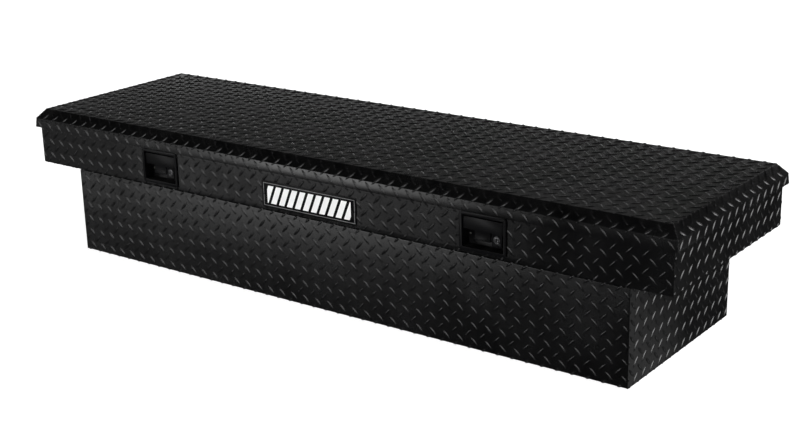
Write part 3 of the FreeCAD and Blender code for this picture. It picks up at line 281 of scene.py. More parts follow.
def powder_coat(name, dark, light, rough, specular, worn_crowns=False):
    """Satin black powder coat: orange-peel skin, faint cloudiness, a little dust on what faces up."""
    material, tree, shader = node_tree(name)
    clouds = noise(tree, 9, 4)
    specks = noise(tree, 420, 2)
    geometry = add_node(tree, "ShaderNodeNewGeometry")
    split = add_node(tree, "ShaderNodeSeparateXYZ")
    tree.links.new(geometry.outputs["Normal"], split.inputs["Vector"])
    facing_up = spread(tree, split.outputs["Z"], 0, 1, 0.6, 1)
    paint = blend_colours(tree, spread(tree, clouds, 0, 1), dark, light)
    dusty = maths(tree, "MULTIPLY", facing_up, spread(tree, noise(tree, 35, 6), 0.0, 0.16, 0.42, 0.75))
    colour = blend_colours(tree, dusty, paint, (0.085, 0.082, 0.078))
    roughness = spread(tree, clouds, rough - 0.05, rough + 0.06)
    if worn_crowns:
        crown = add_node(tree, "ShaderNodeAttribute", attribute_name="crown").outputs["Fac"]
        scuffs = spread(tree, noise(tree, 55, 5), 0, 1, 0.5, 0.72)
        rubbed = maths(tree, "MULTIPLY", spread(tree, crown, 0, 0.85, 0.72, 1.0), scuffs)
        colour = blend_colours(tree, rubbed, colour, (0.045, 0.045, 0.047))
        roughness = maths(tree, "SUBTRACT", roughness, maths(tree, "MULTIPLY", rubbed, 0.1))
    tree.links.new(colour, shader.inputs["Base Color"])
    tree.links.new(maths(tree, "ADD", roughness, spread(tree, specks, -0.02, 0.02)),
                   shader.inputs["Roughness"])
    shader.inputs["Specular IOR Level"].default_value = specular
    add_bump(tree, shader, [(noise(tree, 620, 2), 0.22, 0.00012), (noise(tree, 60, 3), 0.10, 0.0005)])
    return material


def plated_steel(name, first, second, rough, grain=(1, 1, 1), bump=0.06):
    """Metal with clouded plating and a fine grain, stretched along an axis where its scale is small."""
    material, tree, shader = node_tree(name)
    shader.inputs["Metallic"].default_value = 1
    place = add_node(tree, "ShaderNodeTexCoord")
    squeeze = add_node(tree, "ShaderNodeMapping")
    squeeze.inputs["Scale"].default_value = grain
    tree.links.new(place.outputs["Object"], squeeze.inputs["Vector"])
    lines = add_node(tree, "ShaderNodeTexNoise", Scale=700, Detail=3)
    tree.links.new(squeeze.outputs["Vector"], lines.inputs["Vector"])
    clouds = noise(tree, 60, 4)
    tree.links.new(blend_colours(tree, spread(tree, clouds, 0, 1), first, second),
                   shader.inputs["Base Color"])
    tree.links.new(maths(tree, "ADD", spread(tree, clouds, rough - 0.06, rough + 0.08),
                         spread(tree, lines.outputs["Fac"], -0.05, 0.05)), shader.inputs["Roughness"])
    add_bump(tree, shader, [(lines.outputs["Fac"], bump, 0.0001)])
    return material


def sponge_rubber(name):
    """Matt black closed-cell rubber."""
    material, tree, shader = node_tree(name)
    pores = noise(tree, 1500, 3)
    tree.links.new(blend_colours(tree, spread(tree, noise(tree, 25, 4), 0, 1), (0.010, 0.010, 0.010),
                                 (0.020, 0.020, 0.021)), shader.inputs["Base Color"])
    tree.links.new(spread(tree, pores, 0.72, 0.9), shader.inputs["Roughness"])
    shader.inputs["Specular IOR Level"].default_value = 0.3
    add_bump(tree, shader, [(pores, 0.35, 0.0002)])
    return material


def enamel(name, first, second, rough, specular):
    """Printed or enamelled surface."""
    material, tree, shader = node_tree(name)
    tree.links.new(blend_colours(tree, spread(tree, noise(tree, 40, 4), 0, 1), first, second),
                   shader.inputs["Base Color"])
    tree.links.new(spread(tree, noise(tree, 160, 3), rough - 0.05, rough + 0.06), shader.inputs["Roughness"])
    shader.inputs["Specular IOR Level"].default_value = specular
    add_bump(tree, shader, [(noise(tree, 900, 2), 0.05, 0.0001)])
    return material


materials = {
    "tread_plate": powder_coat("tread_paint", (0.0012, 0.0012, 0.0013), (0.0026, 0.0026, 0.0028), 0.23, 0.27,
                               worn_crowns=True),
    "black_sheet": powder_coat("sheet_paint", (0.010, 0.010, 0.0105), (0.014, 0.014, 0.0145), 0.42, 0.36),
    "latch_black": powder_coat("latch_paint", (0.0015, 0.0015, 0.0018), (0.003, 0.003, 0.0033), 0.34, 0.08),
    "badge": enamel("badge_black", (0.0008, 0.0008, 0.001), (0.002, 0.002, 0.0022), 0.35, 0.08),
    "badge_white": enamel("badge_white", (0.78, 0.78, 0.78), (0.86, 0.86, 0.86), 0.42, 0.4),
    "badge_grey": enamel("badge_grey", (0.16, 0.16, 0.165), (0.24, 0.24, 0.245), 0.40, 0.4),
    "zinc_steel": plated_steel("zinc_plate", (0.50, 0.50, 0.47), (0.64, 0.63, 0.58), 0.38),
    "black_steel": powder_coat("strut_paint", (0.008, 0.008, 0.009), (0.014, 0.014, 0.015), 0.30, 0.5),
    "hinge_steel": plated_steel("hinge_stainless", (0.44, 0.44, 0.44), (0.56, 0.56, 0.55), 0.32,
                                grain=(0.03, 1, 1)),
    "polished_rod": plated_steel("rod_chrome", (0.70, 0.70, 0.71), (0.78, 0.78, 0.79), 0.12, bump=0.02),
    "seal_rubber": sponge_rubber("seal_sponge"),
    "lock_chrome": plated_steel("lock_plating", (0.060, 0.060, 0.063), (0.105, 0.105, 0.108), 0.34),
}


# ------------------------ folded sheets

class FoldPath:
    """The outer face of a folded sheet in cross-section: straight runs joined by round bends.

    The bends turn left along the path, and the sheet's outside is on the path's right.
    """

    def __init__(self, corners, radii):
        points = [Vector(corner) for corner in corners]
        if not isinstance(radii, tuple):
            radii = (radii,) * (len(points) - 2)
        self.parts = []
        start = points[0]
        for before, here, after, radius in zip(points, points[1:], points[2:], radii):
            way = (here - before).normalized()
            onward = (after - here).normalized()
            turn = math.atan2(way.x * onward.y - way.y * onward.x, way.dot(onward))
            trim = radius * math.tan(turn / 2)
            end = here - way * trim
            self.parts.append(("run", (end - start).length, start, way, 0.0))
            centre = end + Vector((-way.y, way.x)) * radius
            self.parts.append(("bend", radius * turn, centre, math.atan2(-way.x, way.y), radius))
            start = here + onward * trim
        last = points[-1] - start
        self.parts.append(("run", last.length, start, last.normalized(), 0.0))
        self.length = sum(part[1] for part in self.parts)

    def at(self, v, height):
        """The point at a distance along the path, raised off the sheet."""
        for part in self.parts:
            kind, length, base, heading, radius = part
            if v <= length or part is self.parts[-1]:
                break
            v -= length
        if kind == "run":
            return base + heading * v + Vector((heading.y, -heading.x)) * height
        angle = heading + v / radius
        return base + Vector((math.cos(angle), math.sin(angle))) * (radius + height)

    def bends(self):
        """Where each bend starts and ends along the path, and its radius."""
        found = []
        v = 0
        for kind, length, _, _, radius in self.parts:
            if kind == "bend":
                found.append((v, v + length, radius))
            v += length
        return found

    def stations(self):
        """Distances at which the sheet's mesh has its rows: the ends of runs and steps round the bends."""
        rows = [0.0]
        for low, high, radius in self.bends():
            steps = max(3, round((high - low) / radius / math.radians(11)))
            rows += [low + (high - low) * step / steps for step in range(steps + 1)]
        return rows + [self.length]


def sheet_bmesh(path, u0, u1, place, round_ends=0.0):
    """A folded sheet of one cross-section between u0 and u1, the outer edges of its ends rounded."""
    bm = bmesh.new()
    rows = path.stations()
    loops = []
    for u in (u0, u1):
        outer = [bm.verts.new(place(u, *path.at(v, 0))) for v in rows]
        inner = [bm.verts.new(place(u, *path.at(v, -GAUGE))) for v in rows]
        loops.append(outer + inner[::-1])
    bridge(bm, *loops)
    for loop in loops:
        for i in range(len(rows) - 1):
            bm.faces.new((loop[i], loop[i + 1], loop[-2 - i], loop[-1 - i]))
    bmesh.ops.recalc_face_normals(bm, faces=bm.faces)
    if round_ends:
        rims = []
        for loop in loops:
            outer = set(loop[:len(rows)])
            rims += [e for e in bm.edges if e.verts[0] in outer and e.verts[1] in outer]
        bmesh.ops.bevel(bm, geom=rims, offset=round_ends, segments=3, profile=0.5, affect="EDGES")
    return bm


# ------------------------ tread bars

# A bar's cross-section: across and up, each as a share of its width and height there.
SECTION = ((-1.0, 0.0), (-0.56, 0.74), (0.0, 1.0), (0.56, 0.74), (1.0, 0.0))


def bar_form(stations):
    """One raised bar on the flat sheet: points (along, across, height) and faces."""
    points = [(-BAR_HALF, 0, -SUNK)]
    for k in range(1, stations - 1):
        t = math.sin(math.pi / 2 * (2 * k / (stations - 1) - 1))
        width = BAR_WIDTH / 2 * (1 - t * t) ** 0.8
        height = BAR_HEIGHT * (1 - abs(t) ** 3)
        for across, share in SECTION:
            points.append((t * BAR_HALF, across * width, -SUNK + (height + SUNK) * share))
    points.append((BAR_HALF, 0, -SUNK))
    wide = len(SECTION)
    tip = len(points) - 1
    faces = []
    for k in range(stations - 3):
        a = 1 + k * wide
        for i in range(wide):
            j = (i + 1) % wide
            faces.append((a + i, a + j, a + wide + j, a + wide + i))
    a = tip - wide
    for i in range(wide):
        j = (i + 1) % wide
        faces.append((0, 1 + j, 1 + i))
        faces.append((tip, a + i, a + j))
    return points, faces


COARSE = bar_form(9)
FINE = bar_form(15)


def trimmed(points, faces, limits, keep_out):
    """A bar cut back to the sheet's edges and clear of its kept-out rectangles."""
    bm = bmesh.new()
    made = [bm.verts.new(p) for p in points]
    for face in faces:
        bm.faces.new([made[i] for i in face])
    for point, normal in sides_of(limits):
        if bm.verts:
            cut_away(bm, point, normal)
    for rectangle in keep_out:
        if bm.verts:
            punch(bm, rectangle)
    bm.verts.index_update()
    result = [tuple(v.co) for v in bm.verts], [tuple(v.index for v in f.verts) for f in bm.faces]
    bm.free()
    return result


def tread_field(limits, phase, keep_out=(), folds=(), skip=None, mirrored=False):
    """All bars on a rectangle of the flat sheet, as points (u, v, height) and faces."""
    slant = -math.pi / 4 if mirrored else math.pi / 4
    u0, u1, v0, v1 = limits
    all_points, all_faces = [], []
    rows = range(math.floor((v0 - phase[1]) / PITCH) - 1, math.ceil((v1 - phase[1]) / PITCH) + 2)
    columns = range(math.floor((u0 - phase[0]) / PITCH) - 1, math.ceil((u1 - phase[0]) / PITCH) + 2)
    for j in rows:
        for i in columns:
            for shift, angle in ((0, slant), (0.5, -slant)):
                u = phase[0] + (i + shift) * PITCH
                v = phase[1] + (j + shift) * PITCH
                if not overlaps(u, v, limits, BAR_REACH) or (skip and skip(u, v)):
                    continue
                folded = any(low - BAR_REACH < v < high + BAR_REACH for low, high, *_ in folds)
                form, faces = FINE if folded else COARSE
                c, s = math.cos(angle), math.sin(angle)
                points = [(u + a * c - b * s, v + a * s + b * c, h) for a, b, h in form]
                near = [r for r in keep_out if overlaps(u, v, r, BAR_REACH)]
                if near or not overlaps(u, v, limits, -BAR_REACH):
                    points, faces = trimmed(points, faces, limits, near)
                base = len(all_points)
                all_points += points
                all_faces += [tuple(base + k for k in face) for face in faces]
    return all_points, all_faces


def bars_bmesh(field, place):
    """The field's bars laid on the folded sheet; each point keeps its height share as "crown"."""
    points, faces = field
    bm = bmesh.new()
    crown = bm.verts.layers.float.new("crown")
    made = []
    for u, v, h in points:
        vert = bm.verts.new(place(u, v, h))
        vert[crown] = max(0.0, h / BAR_HEIGHT)
        made.append(vert)
    for face in faces:
        bm.faces.new([made[i] for i in face])
    bmesh.ops.recalc_face_normals(bm, faces=bm.faces)
    return bm


def tread_sheet(node, path, span, place, phase, tread, edge_gap, keep_out=(), cutters=(), round_ends=0.0):
    """A folded sheet of the box with its bars: two pieces in place of a CAD sheet.

    The bars cover the path's range tread, and stop edge_gap from the ends of the sheet's span.
    """
    bm = subtract(sheet_bmesh(path, *span, place, round_ends), cutters)
    soften(bm)
    piece_from(bm, node + "_sheet", "box", "tread_plate", [node])
    limits = (span[0] + edge_gap, span[1] - edge_gap, *tread)
    field = tread_field(limits, phase, keep_out, path.bends())
    bm = bars_bmesh(field, lambda u, v, h: place(u, *path.at(v, h)))
    soften(bm, BAR_SHARP)
    piece_from(bm, node + "_tread", "box", "tread_plate")


def along_x(u, a, b):
    """Places a cross-section that is drawn in Y and Z."""
    return (u, a, b)


def along_y(side):
    """Places a cross-section that is drawn in X and Z, mirrored on the left side."""
    return lambda u, a, b: (side * a, u, b)


# ------------------------ body

tub_low, tub_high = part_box("tub_wrap")
front_low, front_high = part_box("collar_front")
rear_low, rear_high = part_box("collar_rear")
FRONT = front_low.y
REAR = rear_high.y
TUB_REAR = tub_high.y
WING = front_low.z
RIM = front_high.z
RIM_WIDTH = front_high.y - FRONT
SEAL_EDGE = abs(FRONT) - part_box("rim_seal")[1].y  # the seal's outer edge in from the body's outside
BARE_RIM = RIM_WIDTH - SEAL_EDGE                  # the rim has no bars under the seal and inside it

# Where one bar of each sheet's pattern is centred: along the sheet, and its height above the ground.
PHASE = {
    "tub": (15.3 * MM, 15.4 * MM), "collar_front": (32 * MM, 267 * MM), "collar_rear": (10 * MM, 267 * MM),
    "tub_end": (22 * MM, 12 * MM), "wing": (25 * MM, 277.7 * MM), "lid_front": (0.0, 311.5 * MM),
}


def v_at_height(path, z, run=1):
    """Path distance where the given upright run (counted among the runs) reaches a height."""
    before = path.parts[:2 * run]  # runs and bends take turns
    _, _, base, heading, _ = path.parts[2 * run]
    return sum(part[1] for part in before) + (z - base.y) / heading.y


def grown(us, vs, margin):
    """A rectangle of the flat sheet round two pairs of limits, with a margin."""
    return (min(us) - margin, max(us) + margin, min(vs) - margin, max(vs) + margin)


def front_rectangle(path, node, margin):
    """The place of a part on an upright sheet along X, kept free of bars."""
    low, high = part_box(node)
    return grown((low.x, high.x), (v_at_height(path, low.z), v_at_height(path, high.z)), margin)


def phase_on(path, sheet):
    """The centre of one bar on the flat sheet."""
    along, height = PHASE[sheet]
    return (along, v_at_height(path, height))


def build_tub():
    path = FoldPath([(FRONT + FLANGE, WING), (FRONT, WING), (FRONT, 0), (TUB_REAR, 0), (TUB_REAR, WING),
                     (TUB_REAR - FLANGE, WING)], BEND)
    on_flange = path.bends()[0][0]
    tread_sheet("tub_wrap", path, (tub_low.x, tub_high.x), along_x, phase_on(path, "tub"),
                tread=(on_flange, path.length - on_flange), edge_gap=0.3 * MM)


def build_tub_end(side_name, side):
    low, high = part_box(f"tub_end_{side_name}")
    outer = max(side * low.x, side * high.x)
    path = FoldPath([(outer, 0), (outer, WING), (outer - FLANGE, WING)], BEND)
    keep_out = []
    for start, end in fastener_boxes("strut_box_rivets"):
        middle = (start + end) / 2
        if side * middle.x > 0:
            keep_out.append(grown((middle.y,), (middle.z,), 5 * MM))
    tread_sheet(f"tub_end_{side_name}", path, (low.y, high.y), along_y(side), PHASE["tub_end"],
                (0.0, path.bends()[0][0]), WELD_GAP, keep_out, round_ends=1.2 * MM)


def build_collar_front():
    path = FoldPath([(FRONT + RIM_WIDTH, RIM), (FRONT, RIM), (FRONT, WING), (FRONT + FLANGE, WING)], BEND)
    keep_out = [front_rectangle(path, f"latch_gasket_{side_name}", 1.2 * MM) for side_name in SIDES]
    keep_out.append(front_rectangle(path, "badge_plate", 0.4 * MM))
    tread_sheet("collar_front", path, (front_low.x, front_high.x), along_x, phase_on(path, "collar_front"),
                (BARE_RIM, path.length - FLANGE / 2), WELD_GAP, keep_out,
                [dish_cutter(side_name) for side_name in SIDES], round_ends=1.8 * MM)


def dish_cutter(side_name):
    """Cuts the hole that a latch's dish sits in; the paddle's pin is as long as the dish is wide."""
    low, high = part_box(f"latch_dish_{side_name}")
    middle = (low + high) / 2
    pin_low, pin_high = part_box(f"paddle_pin_{side_name}")
    gap = 1 * MM
    through = 5 * MM
    return box_bmesh((pin_low.x - gap, FRONT - through, middle.z - DISH_HALF_HEIGHT - gap),
                     (pin_high.x + gap, FRONT + through, middle.z + DISH_HALF_HEIGHT + gap))


def build_collar_rear():
    shelf = rear_low.y
    path = FoldPath([(shelf, WING), (REAR, WING), (REAR, RIM), (REAR - RIM_WIDTH, RIM)], BEND)
    low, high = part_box("hinge_box_leaf")
    keep_out = [grown((low.x, high.x), (v_at_height(path, low.z), v_at_height(path, RIM)), 0.8 * MM)]
    tread_sheet("collar_rear", path, (rear_low.x, rear_high.x), along_x, phase_on(path, "collar_rear"),
                (TUB_REAR - shelf + MM, path.length - BARE_RIM), WELD_GAP, keep_out, round_ends=1.8 * MM)


def build_wing(side_name, side):
    low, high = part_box(f"wing_pan_{side_name}")
    inner, outer = sorted((side * low.x, side * high.x))
    path = FoldPath([(inner, WING), (outer, WING), (outer, RIM), (outer - RIM_WIDTH, RIM)], BEND)
    bolts = next(m for m in frame["record"]["mounts"] if m["name"] == "wing_bolts")
    hole_x = side * bolts["pos_m"][0] + bolts["dims"]["spacing_x_mm"] * MM / 2
    hole_y = bolts["dims"]["spacing_y_mm"] * MM / 2
    radius = bolts["dims"]["hole_r_mm"] * MM
    keep_out = []
    cutters = []
    for way in (-1, 1):
        keep_out.append(grown((way * hole_y,), (hole_x - inner,), radius + 2 * MM))
        cutters.append(post_bmesh((side * hole_x, way * hole_y, WING + GAUGE / 2), radius, 3 * GAUGE))
    tub_end = max(side * corner.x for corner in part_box(f"tub_end_{side_name}"))
    tread_sheet(f"wing_pan_{side_name}", path, (low.y, high.y), along_y(side), phase_on(path, "wing"),
                (tub_end - inner + MM, path.length - BARE_RIM), 0.6 * MM, keep_out, cutters)


# ------------------------ lid

def build_lid():
    low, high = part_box("lid_skin")
    half_x, half_y = high.x, high.y
    paths = {axis: FoldPath([(half, low.z), (half - LID_FLARE, high.z - LID_SHOULDER),
                             (half - LID_BEVEL, high.z), (0, high.z)], LID_BENDS)
             for axis, half in (("x", half_x), ("y", half_y))}
    path = paths["y"]
    bm = bmesh.new()
    rows = [v for v in path.stations() if v < path.length]
    rings = []
    for height, order in ((0, rows), (-GAUGE, rows[::-1])):
        for v in order:
            a, b = path.at(v, height)
            ring = rounded_ring(half_x - half_y + a, a, CORNER, b, 5)
            rings.append([bm.verts.new(point) for point in ring])
    for number, (first, second) in enumerate(zip(rings, rings[1:] + rings[:1])):
        if number == len(rows) - 1:  # here the top closes, outside and inside
            bm.faces.new(first)
            bm.faces.new(second)
        else:
            bridge(bm, first, second)
    bmesh.ops.recalc_face_normals(bm, faces=bm.faces)
    hem = set(rings[0])
    edges = [e for e in bm.edges if e.verts[0] in hem and e.verts[1] in hem]
    bmesh.ops.bevel(bm, geom=edges, offset=1.5 * MM, segments=3, profile=0.5, affect="EDGES")
    soften(bm)
    piece_from(bm, "lid_skin_sheet", "lid", "tread_plate", ["lid_skin"])
    build_lid_tread(paths, half_x, half_y, high.z)
    build_lid_welds(path, half_x, half_y)


def build_lid_welds(path, half_x, half_y):
    """A rough weld bead down each corner of the lid, where the folded sides meet."""
    bead = 1.3 * MM
    step = 1.7 * MM
    sunk = 0.4 * MM
    top = path.bends()[-1][1]
    bm = bmesh.new()
    for sign_x in (-1, 1):
        for sign_y in (-1, 1):
            for number in range(round(top / step)):
                a, b = path.at((number + 0.8) * step, -sunk)
                inset = half_y - a + CORNER * (1 - math.sqrt(0.5))
                swell = 1 + 0.22 * math.sin(2.4 * number + sign_x) * math.cos(1.3 * number + sign_y)
                middle = (sign_x * (half_x - inset), sign_y * (half_y - inset), b)
                bmesh.ops.create_icosphere(bm, subdivisions=2, radius=bead * swell,
                                           matrix=Matrix.Translation(middle))
    soften(bm)
    piece_from(bm, "lid_corner_welds", "lid", "tread_plate")


def build_lid_tread(paths, half_x, half_y, top):
    """Bars on the lid's top and its four folded sides, one pattern that runs on over the folds."""
    flat_x, flat_y = (paths[axis].length - paths[axis].bends()[-1][1] for axis in "xy")
    front_bar = paths["y"].length - v_at_height(paths["y"], PHASE["lid_front"][1], 0)
    phase = (PHASE["lid_front"][0] + PITCH / 2, PITCH / 2 - front_bar)

    def on_sides(u, v):
        return abs(u) > flat_x - BAR_REACH or abs(v) > flat_y - BAR_REACH

    field = tread_field((-flat_x, flat_x, -flat_y, flat_y), phase, skip=on_sides)
    bm = bars_bmesh(field, lambda u, v, h: (u, v, top + h))
    soften(bm, BAR_SHARP)
    piece_from(bm, "lid_top_tread", "lid", "tread_plate")

    for name, axis, sign in (("front", "y", -1), ("rear", "y", 1), ("left", "x", -1), ("right", "x", 1)):
        path = paths[axis]
        total = path.length
        along_front = axis == "y"
        across = half_x if along_front else half_y
        flat = flat_y if along_front else flat_x
        across_phase, own_phase = phase if along_front else phase[::-1]

        def not_on_side(u, v, flat=flat):
            return v <= flat - BAR_REACH

        limits = (-across, across, flat - 3 * BAR_REACH, total - 0.4 * MM)
        field = tread_field(limits, (across_phase, sign * own_phase), skip=not_on_side, folds=[(0, total)],
                            mirrored=sign < 0)

        def place(u, v, h, path=path, total=total, sign=sign, along_front=along_front):
            a, b = path.at(total - v, h)
            return (u, sign * a, b) if along_front else (sign * a, u, b)

        bm = bars_bmesh(field, place)
        for way in (-1, 1):
            if along_front:
                corner = Vector((way * half_x, sign * half_y, 0))
                normal = Vector((way, -sign, 0)).normalized()
            else:
                corner = Vector((sign * half_x, way * half_y, 0))
                normal = Vector((-sign, way, 0)).normalized()
            cut_away(bm, corner - normal * WELD_GAP, normal)
        soften(bm, BAR_SHARP)
        piece_from(bm, f"lid_{name}_tread", "lid", "tread_plate")


# ------------------------ parts kept from the CAD, their edges rounded

def node_bmesh(node):
    """A CAD part's mesh, its points joined up."""
    bm = bmesh.new()
    bm.from_mesh(frame["nodes"][node].data)
    bmesh.ops.remove_doubles(bm, verts=bm.verts, dist=1e-6)
    return bm


def fastener_boxes(node):
    """Lowest and highest corner of each separate solid in a node."""
    bm = node_bmesh(node)
    found = []
    left = set(bm.verts)
    while left:
        stack = [left.pop()]
        members = []
        while stack:
            vert = stack.pop()
            members.append(vert.co.copy())
            for edge in vert.link_edges:
                other = edge.other_vert(vert)
                if other in left:
                    left.remove(other)
                    stack.append(other)
        low = Vector(min(co[k] for co in members) for k in range(3))
        high = Vector(max(co[k] for co in members) for k in range(3))
        found.append((low, high))
    bm.free()
    return sorted(found, key=lambda pair: tuple(round(x, 4) for x in pair[0]))


def eased(node, body, slot, width=0.5 * MM, steps=2):
    """A CAD part with its sharp edges rounded."""
    bm = node_bmesh(node)
    bmesh.ops.dissolve_limit(bm, angle_limit=math.radians(0.5), verts=bm.verts, edges=bm.edges)
    sharp = [e for e in bm.edges if e.is_manifold and e.calc_face_angle(0) > EASED_OVER]
    bmesh.ops.bevel(bm, geom=sharp, offset=width, segments=steps, profile=0.5, affect="EDGES",
                    clamp_overlap=True)
    soften(bm)
    piece_from(bm, node + "_part", body, slot, [node])


def lathe(bm, profile, frame_matrix, steps=28):
    """A closed turned form: profile points (radius, height), first and last on the axis."""
    rings = []
    for radius, height in profile:
        if radius == 0:
            rings.append([bm.verts.new(frame_matrix @ Vector((0, 0, height)))])
            continue
        ring = []
        for step in range(steps):
            angle = 2 * math.pi * step / steps
            point = Vector((radius * math.cos(angle), radius * math.sin(angle), height))
            ring.append(bm.verts.new(frame_matrix @ point))
        rings.append(ring)
    for first, second in zip(rings, rings[1:]):
        for i in range(steps):
            j = (i + 1) % steps
            corners = [first[i % len(first)], first[j % len(first)],
                       second[j % len(second)], second[i % len(second)]]
            unique = list(dict.fromkeys(corners))
            if len(unique) > 2:
                bm.faces.new(unique)


def axis_matrix(axis, point, flip=False):
    """Places a form turned about +Z at a point with its axis along X, Y or Z."""
    turn = {"X": Matrix.Rotation(math.pi / 2, 4, "Y"), "Y": Matrix.Rotation(-math.pi / 2, 4, "X"),
            "Z": Matrix.Identity(4)}[axis]
    if flip:
        turn = turn @ Matrix.Rotation(math.pi, 4, "X")
    return Matrix.Translation(point) @ turn


def dome(radius, height, base, way):
    """Profile of a domed head from its rim to its crown, on one side of the plane base."""
    steps = 5
    points = []
    for step in range(steps):
        angle = math.pi / 2 * step / steps
        points.append((radius * math.cos(angle), base + way * height * math.sin(angle)))
    return points + [(0, base + way * height)]


def rivets(node, body, slot, axis, low_head=True, high_head=True, radius=3.5 * MM, height=1.2 * MM,
           shank=2 * MM):
    """Domed rivets in place of a node's plain ones; a side with no head ends flush."""
    k = "XYZ".index(axis)
    bm = bmesh.new()
    for low, high in fastener_boxes(node):
        middle = (low + high) / 2
        middle[k] = 0
        profile = []
        if low_head:
            profile += dome(radius, height, low[k] + height, -1)[::-1]
            profile += [(shank, low[k] + height)]
        else:
            profile += [(0, low[k]), (shank, low[k])]
        if high_head:
            profile += [(shank, high[k] - height)]
            profile += dome(radius, height, high[k] - height, 1)
        else:
            profile += [(shank, high[k]), (0, high[k])]
        lathe(bm, profile, axis_matrix(axis, middle))
    bmesh.ops.recalc_face_normals(bm, faces=bm.faces)
    soften(bm)
    piece_from(bm, node + "_domed", body, slot, [node])


def hex_screws(node, body, slot, axis, head_high, head=2.8 * MM, radius=4.5 * MM, shank=2.5 * MM):
    """Hexagon washer-head screws in place of a node's plain ones."""
    k = "XYZ".index(axis)
    flange = 0.9 * MM
    edge = 0.35 * MM
    bm = bmesh.new()
    for low, high in fastener_boxes(node):
        middle = (low + high) / 2
        middle[k] = high[k] if head_high else low[k]
        length = high[k] - low[k]
        place = axis_matrix(axis, middle, flip=not head_high)
        washer = [(0, -head), (radius, -head), (radius, -head + 0.4 * MM), (radius * 0.86, -head + flange),
                  (0, -head + flange)]
        hexagon = [(0, -head + flange / 2), (radius * 0.8, -head + flange / 2), (radius * 0.8, -edge),
                   (radius * 0.68, 0), (radius * 0.45, 0), (radius * 0.38, -0.3 * MM), (0, -0.3 * MM)]
        thread = [(0, -length), (shank * 0.7, -length), (shank, -length + 0.8 * MM),
                  (shank, -head + 0.1 * MM), (0, -head + 0.1 * MM)]
        lathe(bm, washer, place)
        lathe(bm, hexagon, place, 6)
        lathe(bm, thread, place)
    bmesh.ops.recalc_face_normals(bm, faces=bm.faces)
    soften(bm)
    piece_from(bm, node + "_hex", body, slot, [node])


# Parts of each side that keep their own shape: body, slot, and width of the rounded edges in millimetres.
SIDE_PARTS = {
    "latch_dish": ("box", "latch_black", 0.7), "latch_gasket": ("box", "seal_rubber", 0.25),
    "latch_bracket": ("box", "zinc_steel", 0.4), "paddle": ("paddle_{}_body", "latch_black", 0.7),
    "paddle_pin": ("box", "zinc_steel", 0.3), "lock_barrel": ("paddle_{}_body", "black_steel", 0.4),
    "lock_plug": ("lock_{}", "lock_chrome", 0.15), "latch_hook": ("hook_{}", "zinc_steel", 0.35),
    "latch_pawl": ("pawl_{}", "zinc_steel", 0.35), "striker": ("lid", "zinc_steel", 0.4),
    "strut_cylinder": ("cylinder_{}", "black_steel", 0.8), "strut_rod": ("rod_{}", "polished_rod", 0.5),
    "strut_box_bracket": ("box", "zinc_steel", 0.4), "strut_lid_bracket": ("lid", "zinc_steel", 0.4),
}


def build_hardware():
    """Every CAD part that keeps its own shape, with rounded edges and its slot's finish."""
    eased("lid_inner_pan", "lid", "black_sheet", 0.6 * MM)
    eased("lid_stiffener_front", "lid", "black_sheet")
    eased("lid_stiffener_rear", "lid", "black_sheet")
    eased("hinge_box_leaf", "box", "hinge_steel", 0.25 * MM, 1)
    eased("hinge_lid_leaf", "lid", "hinge_steel", 0.25 * MM, 1)
    eased("hinge_pin", "box", "hinge_steel", 0.3 * MM)
    for side in SIDES:
        for part, (body, slot, width) in SIDE_PARTS.items():
            eased(f"{part}_{side}", body.format(side), slot, width * MM)
    rivets("hinge_box_rivets", "box", "zinc_steel", "Y")
    rivets("hinge_lid_rivets", "lid", "zinc_steel", "Y", high_head=False)
    rivets("badge_rivets", "box", "badge", "Y")
    rivets("latch_rivets", "box", "zinc_steel", "Y", radius=6 * MM, height=1.5 * MM, shank=4 * MM)
    rivets("strut_box_rivets", "box", "tread_plate", "X")
    hex_screws("latch_screws", "box", "zinc_steel", "Y", head_high=True)
    hex_screws("striker_screws", "lid", "zinc_steel", "Z", head_high=False)
    hex_screws("strut_lid_screws", "lid", "zinc_steel", "Z", head_high=False)


def build_seal():
    """Bulb seal swept round the rim, its corners rounded and its foot gripping the flange."""
    low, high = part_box("rim_seal")
    width = 8 * MM
    height = high.z - low.z
    corner = 14 * MM
    section = []
    steps = 10
    for step in range(steps + 1):
        angle = math.pi * step / steps
        section.append((width / 2 - width / 2 * math.cos(angle) * (0.94 if 0 < step < steps else 1),
                        height * (0.34 + 0.66 * math.sin(angle) ** 0.8)))
    section = [(0.0, 0.0)] + section + [(width, 0.0)]
    bm = bmesh.new()
    loops = []
    for inset, rise in section:
        ring = rounded_ring(high.x - inset, high.y - inset, corner - inset, low.z + rise, 6)
        loops.append([bm.verts.new(point) for point in ring])
    for first, second in zip(loops, loops[1:] + loops[:1]):
        bridge(bm, first, second)
    bmesh.ops.recalc_face_normals(bm, faces=bm.faces)
    soften(bm)
    piece_from(bm, "rim_seal_bulb", "box", "seal_rubber", ["rim_seal"])


def build_springs():
    """Wire coils round the paddle pins."""
    for side in SIDES:
        low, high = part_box(f"paddle_spring_{side}")
        middle = (low + high) / 2
        radius = (high.z - low.z) / 2 - SPRING_WIRE
        length = high.x - low.x - 2 * SPRING_WIRE
        steps = SPRING_TURNS * 20
        curve = bpy.data.curves.new(f"spring_{side}", "CURVE")
        curve.dimensions = "3D"
        curve.bevel_depth = SPRING_WIRE
        curve.bevel_resolution = 3
        curve.use_fill_caps = True
        line = curve.splines.new("POLY")
        line.points.add(steps)
        for step in range(steps + 1):
            angle = 2 * math.pi * SPRING_TURNS * step / steps
            line.points[step].co = (low.x + SPRING_WIRE + length * step / steps,
                                    middle.y + radius * math.sin(angle),
                                    middle.z + radius * math.cos(angle), 1)
        item = linked(f"spring_{side}_wire", curve)
        curve.materials.append(materials["zinc_steel"])
        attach(item, "box")
        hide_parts(f"paddle_spring_{side}")


# ------------------------ badge

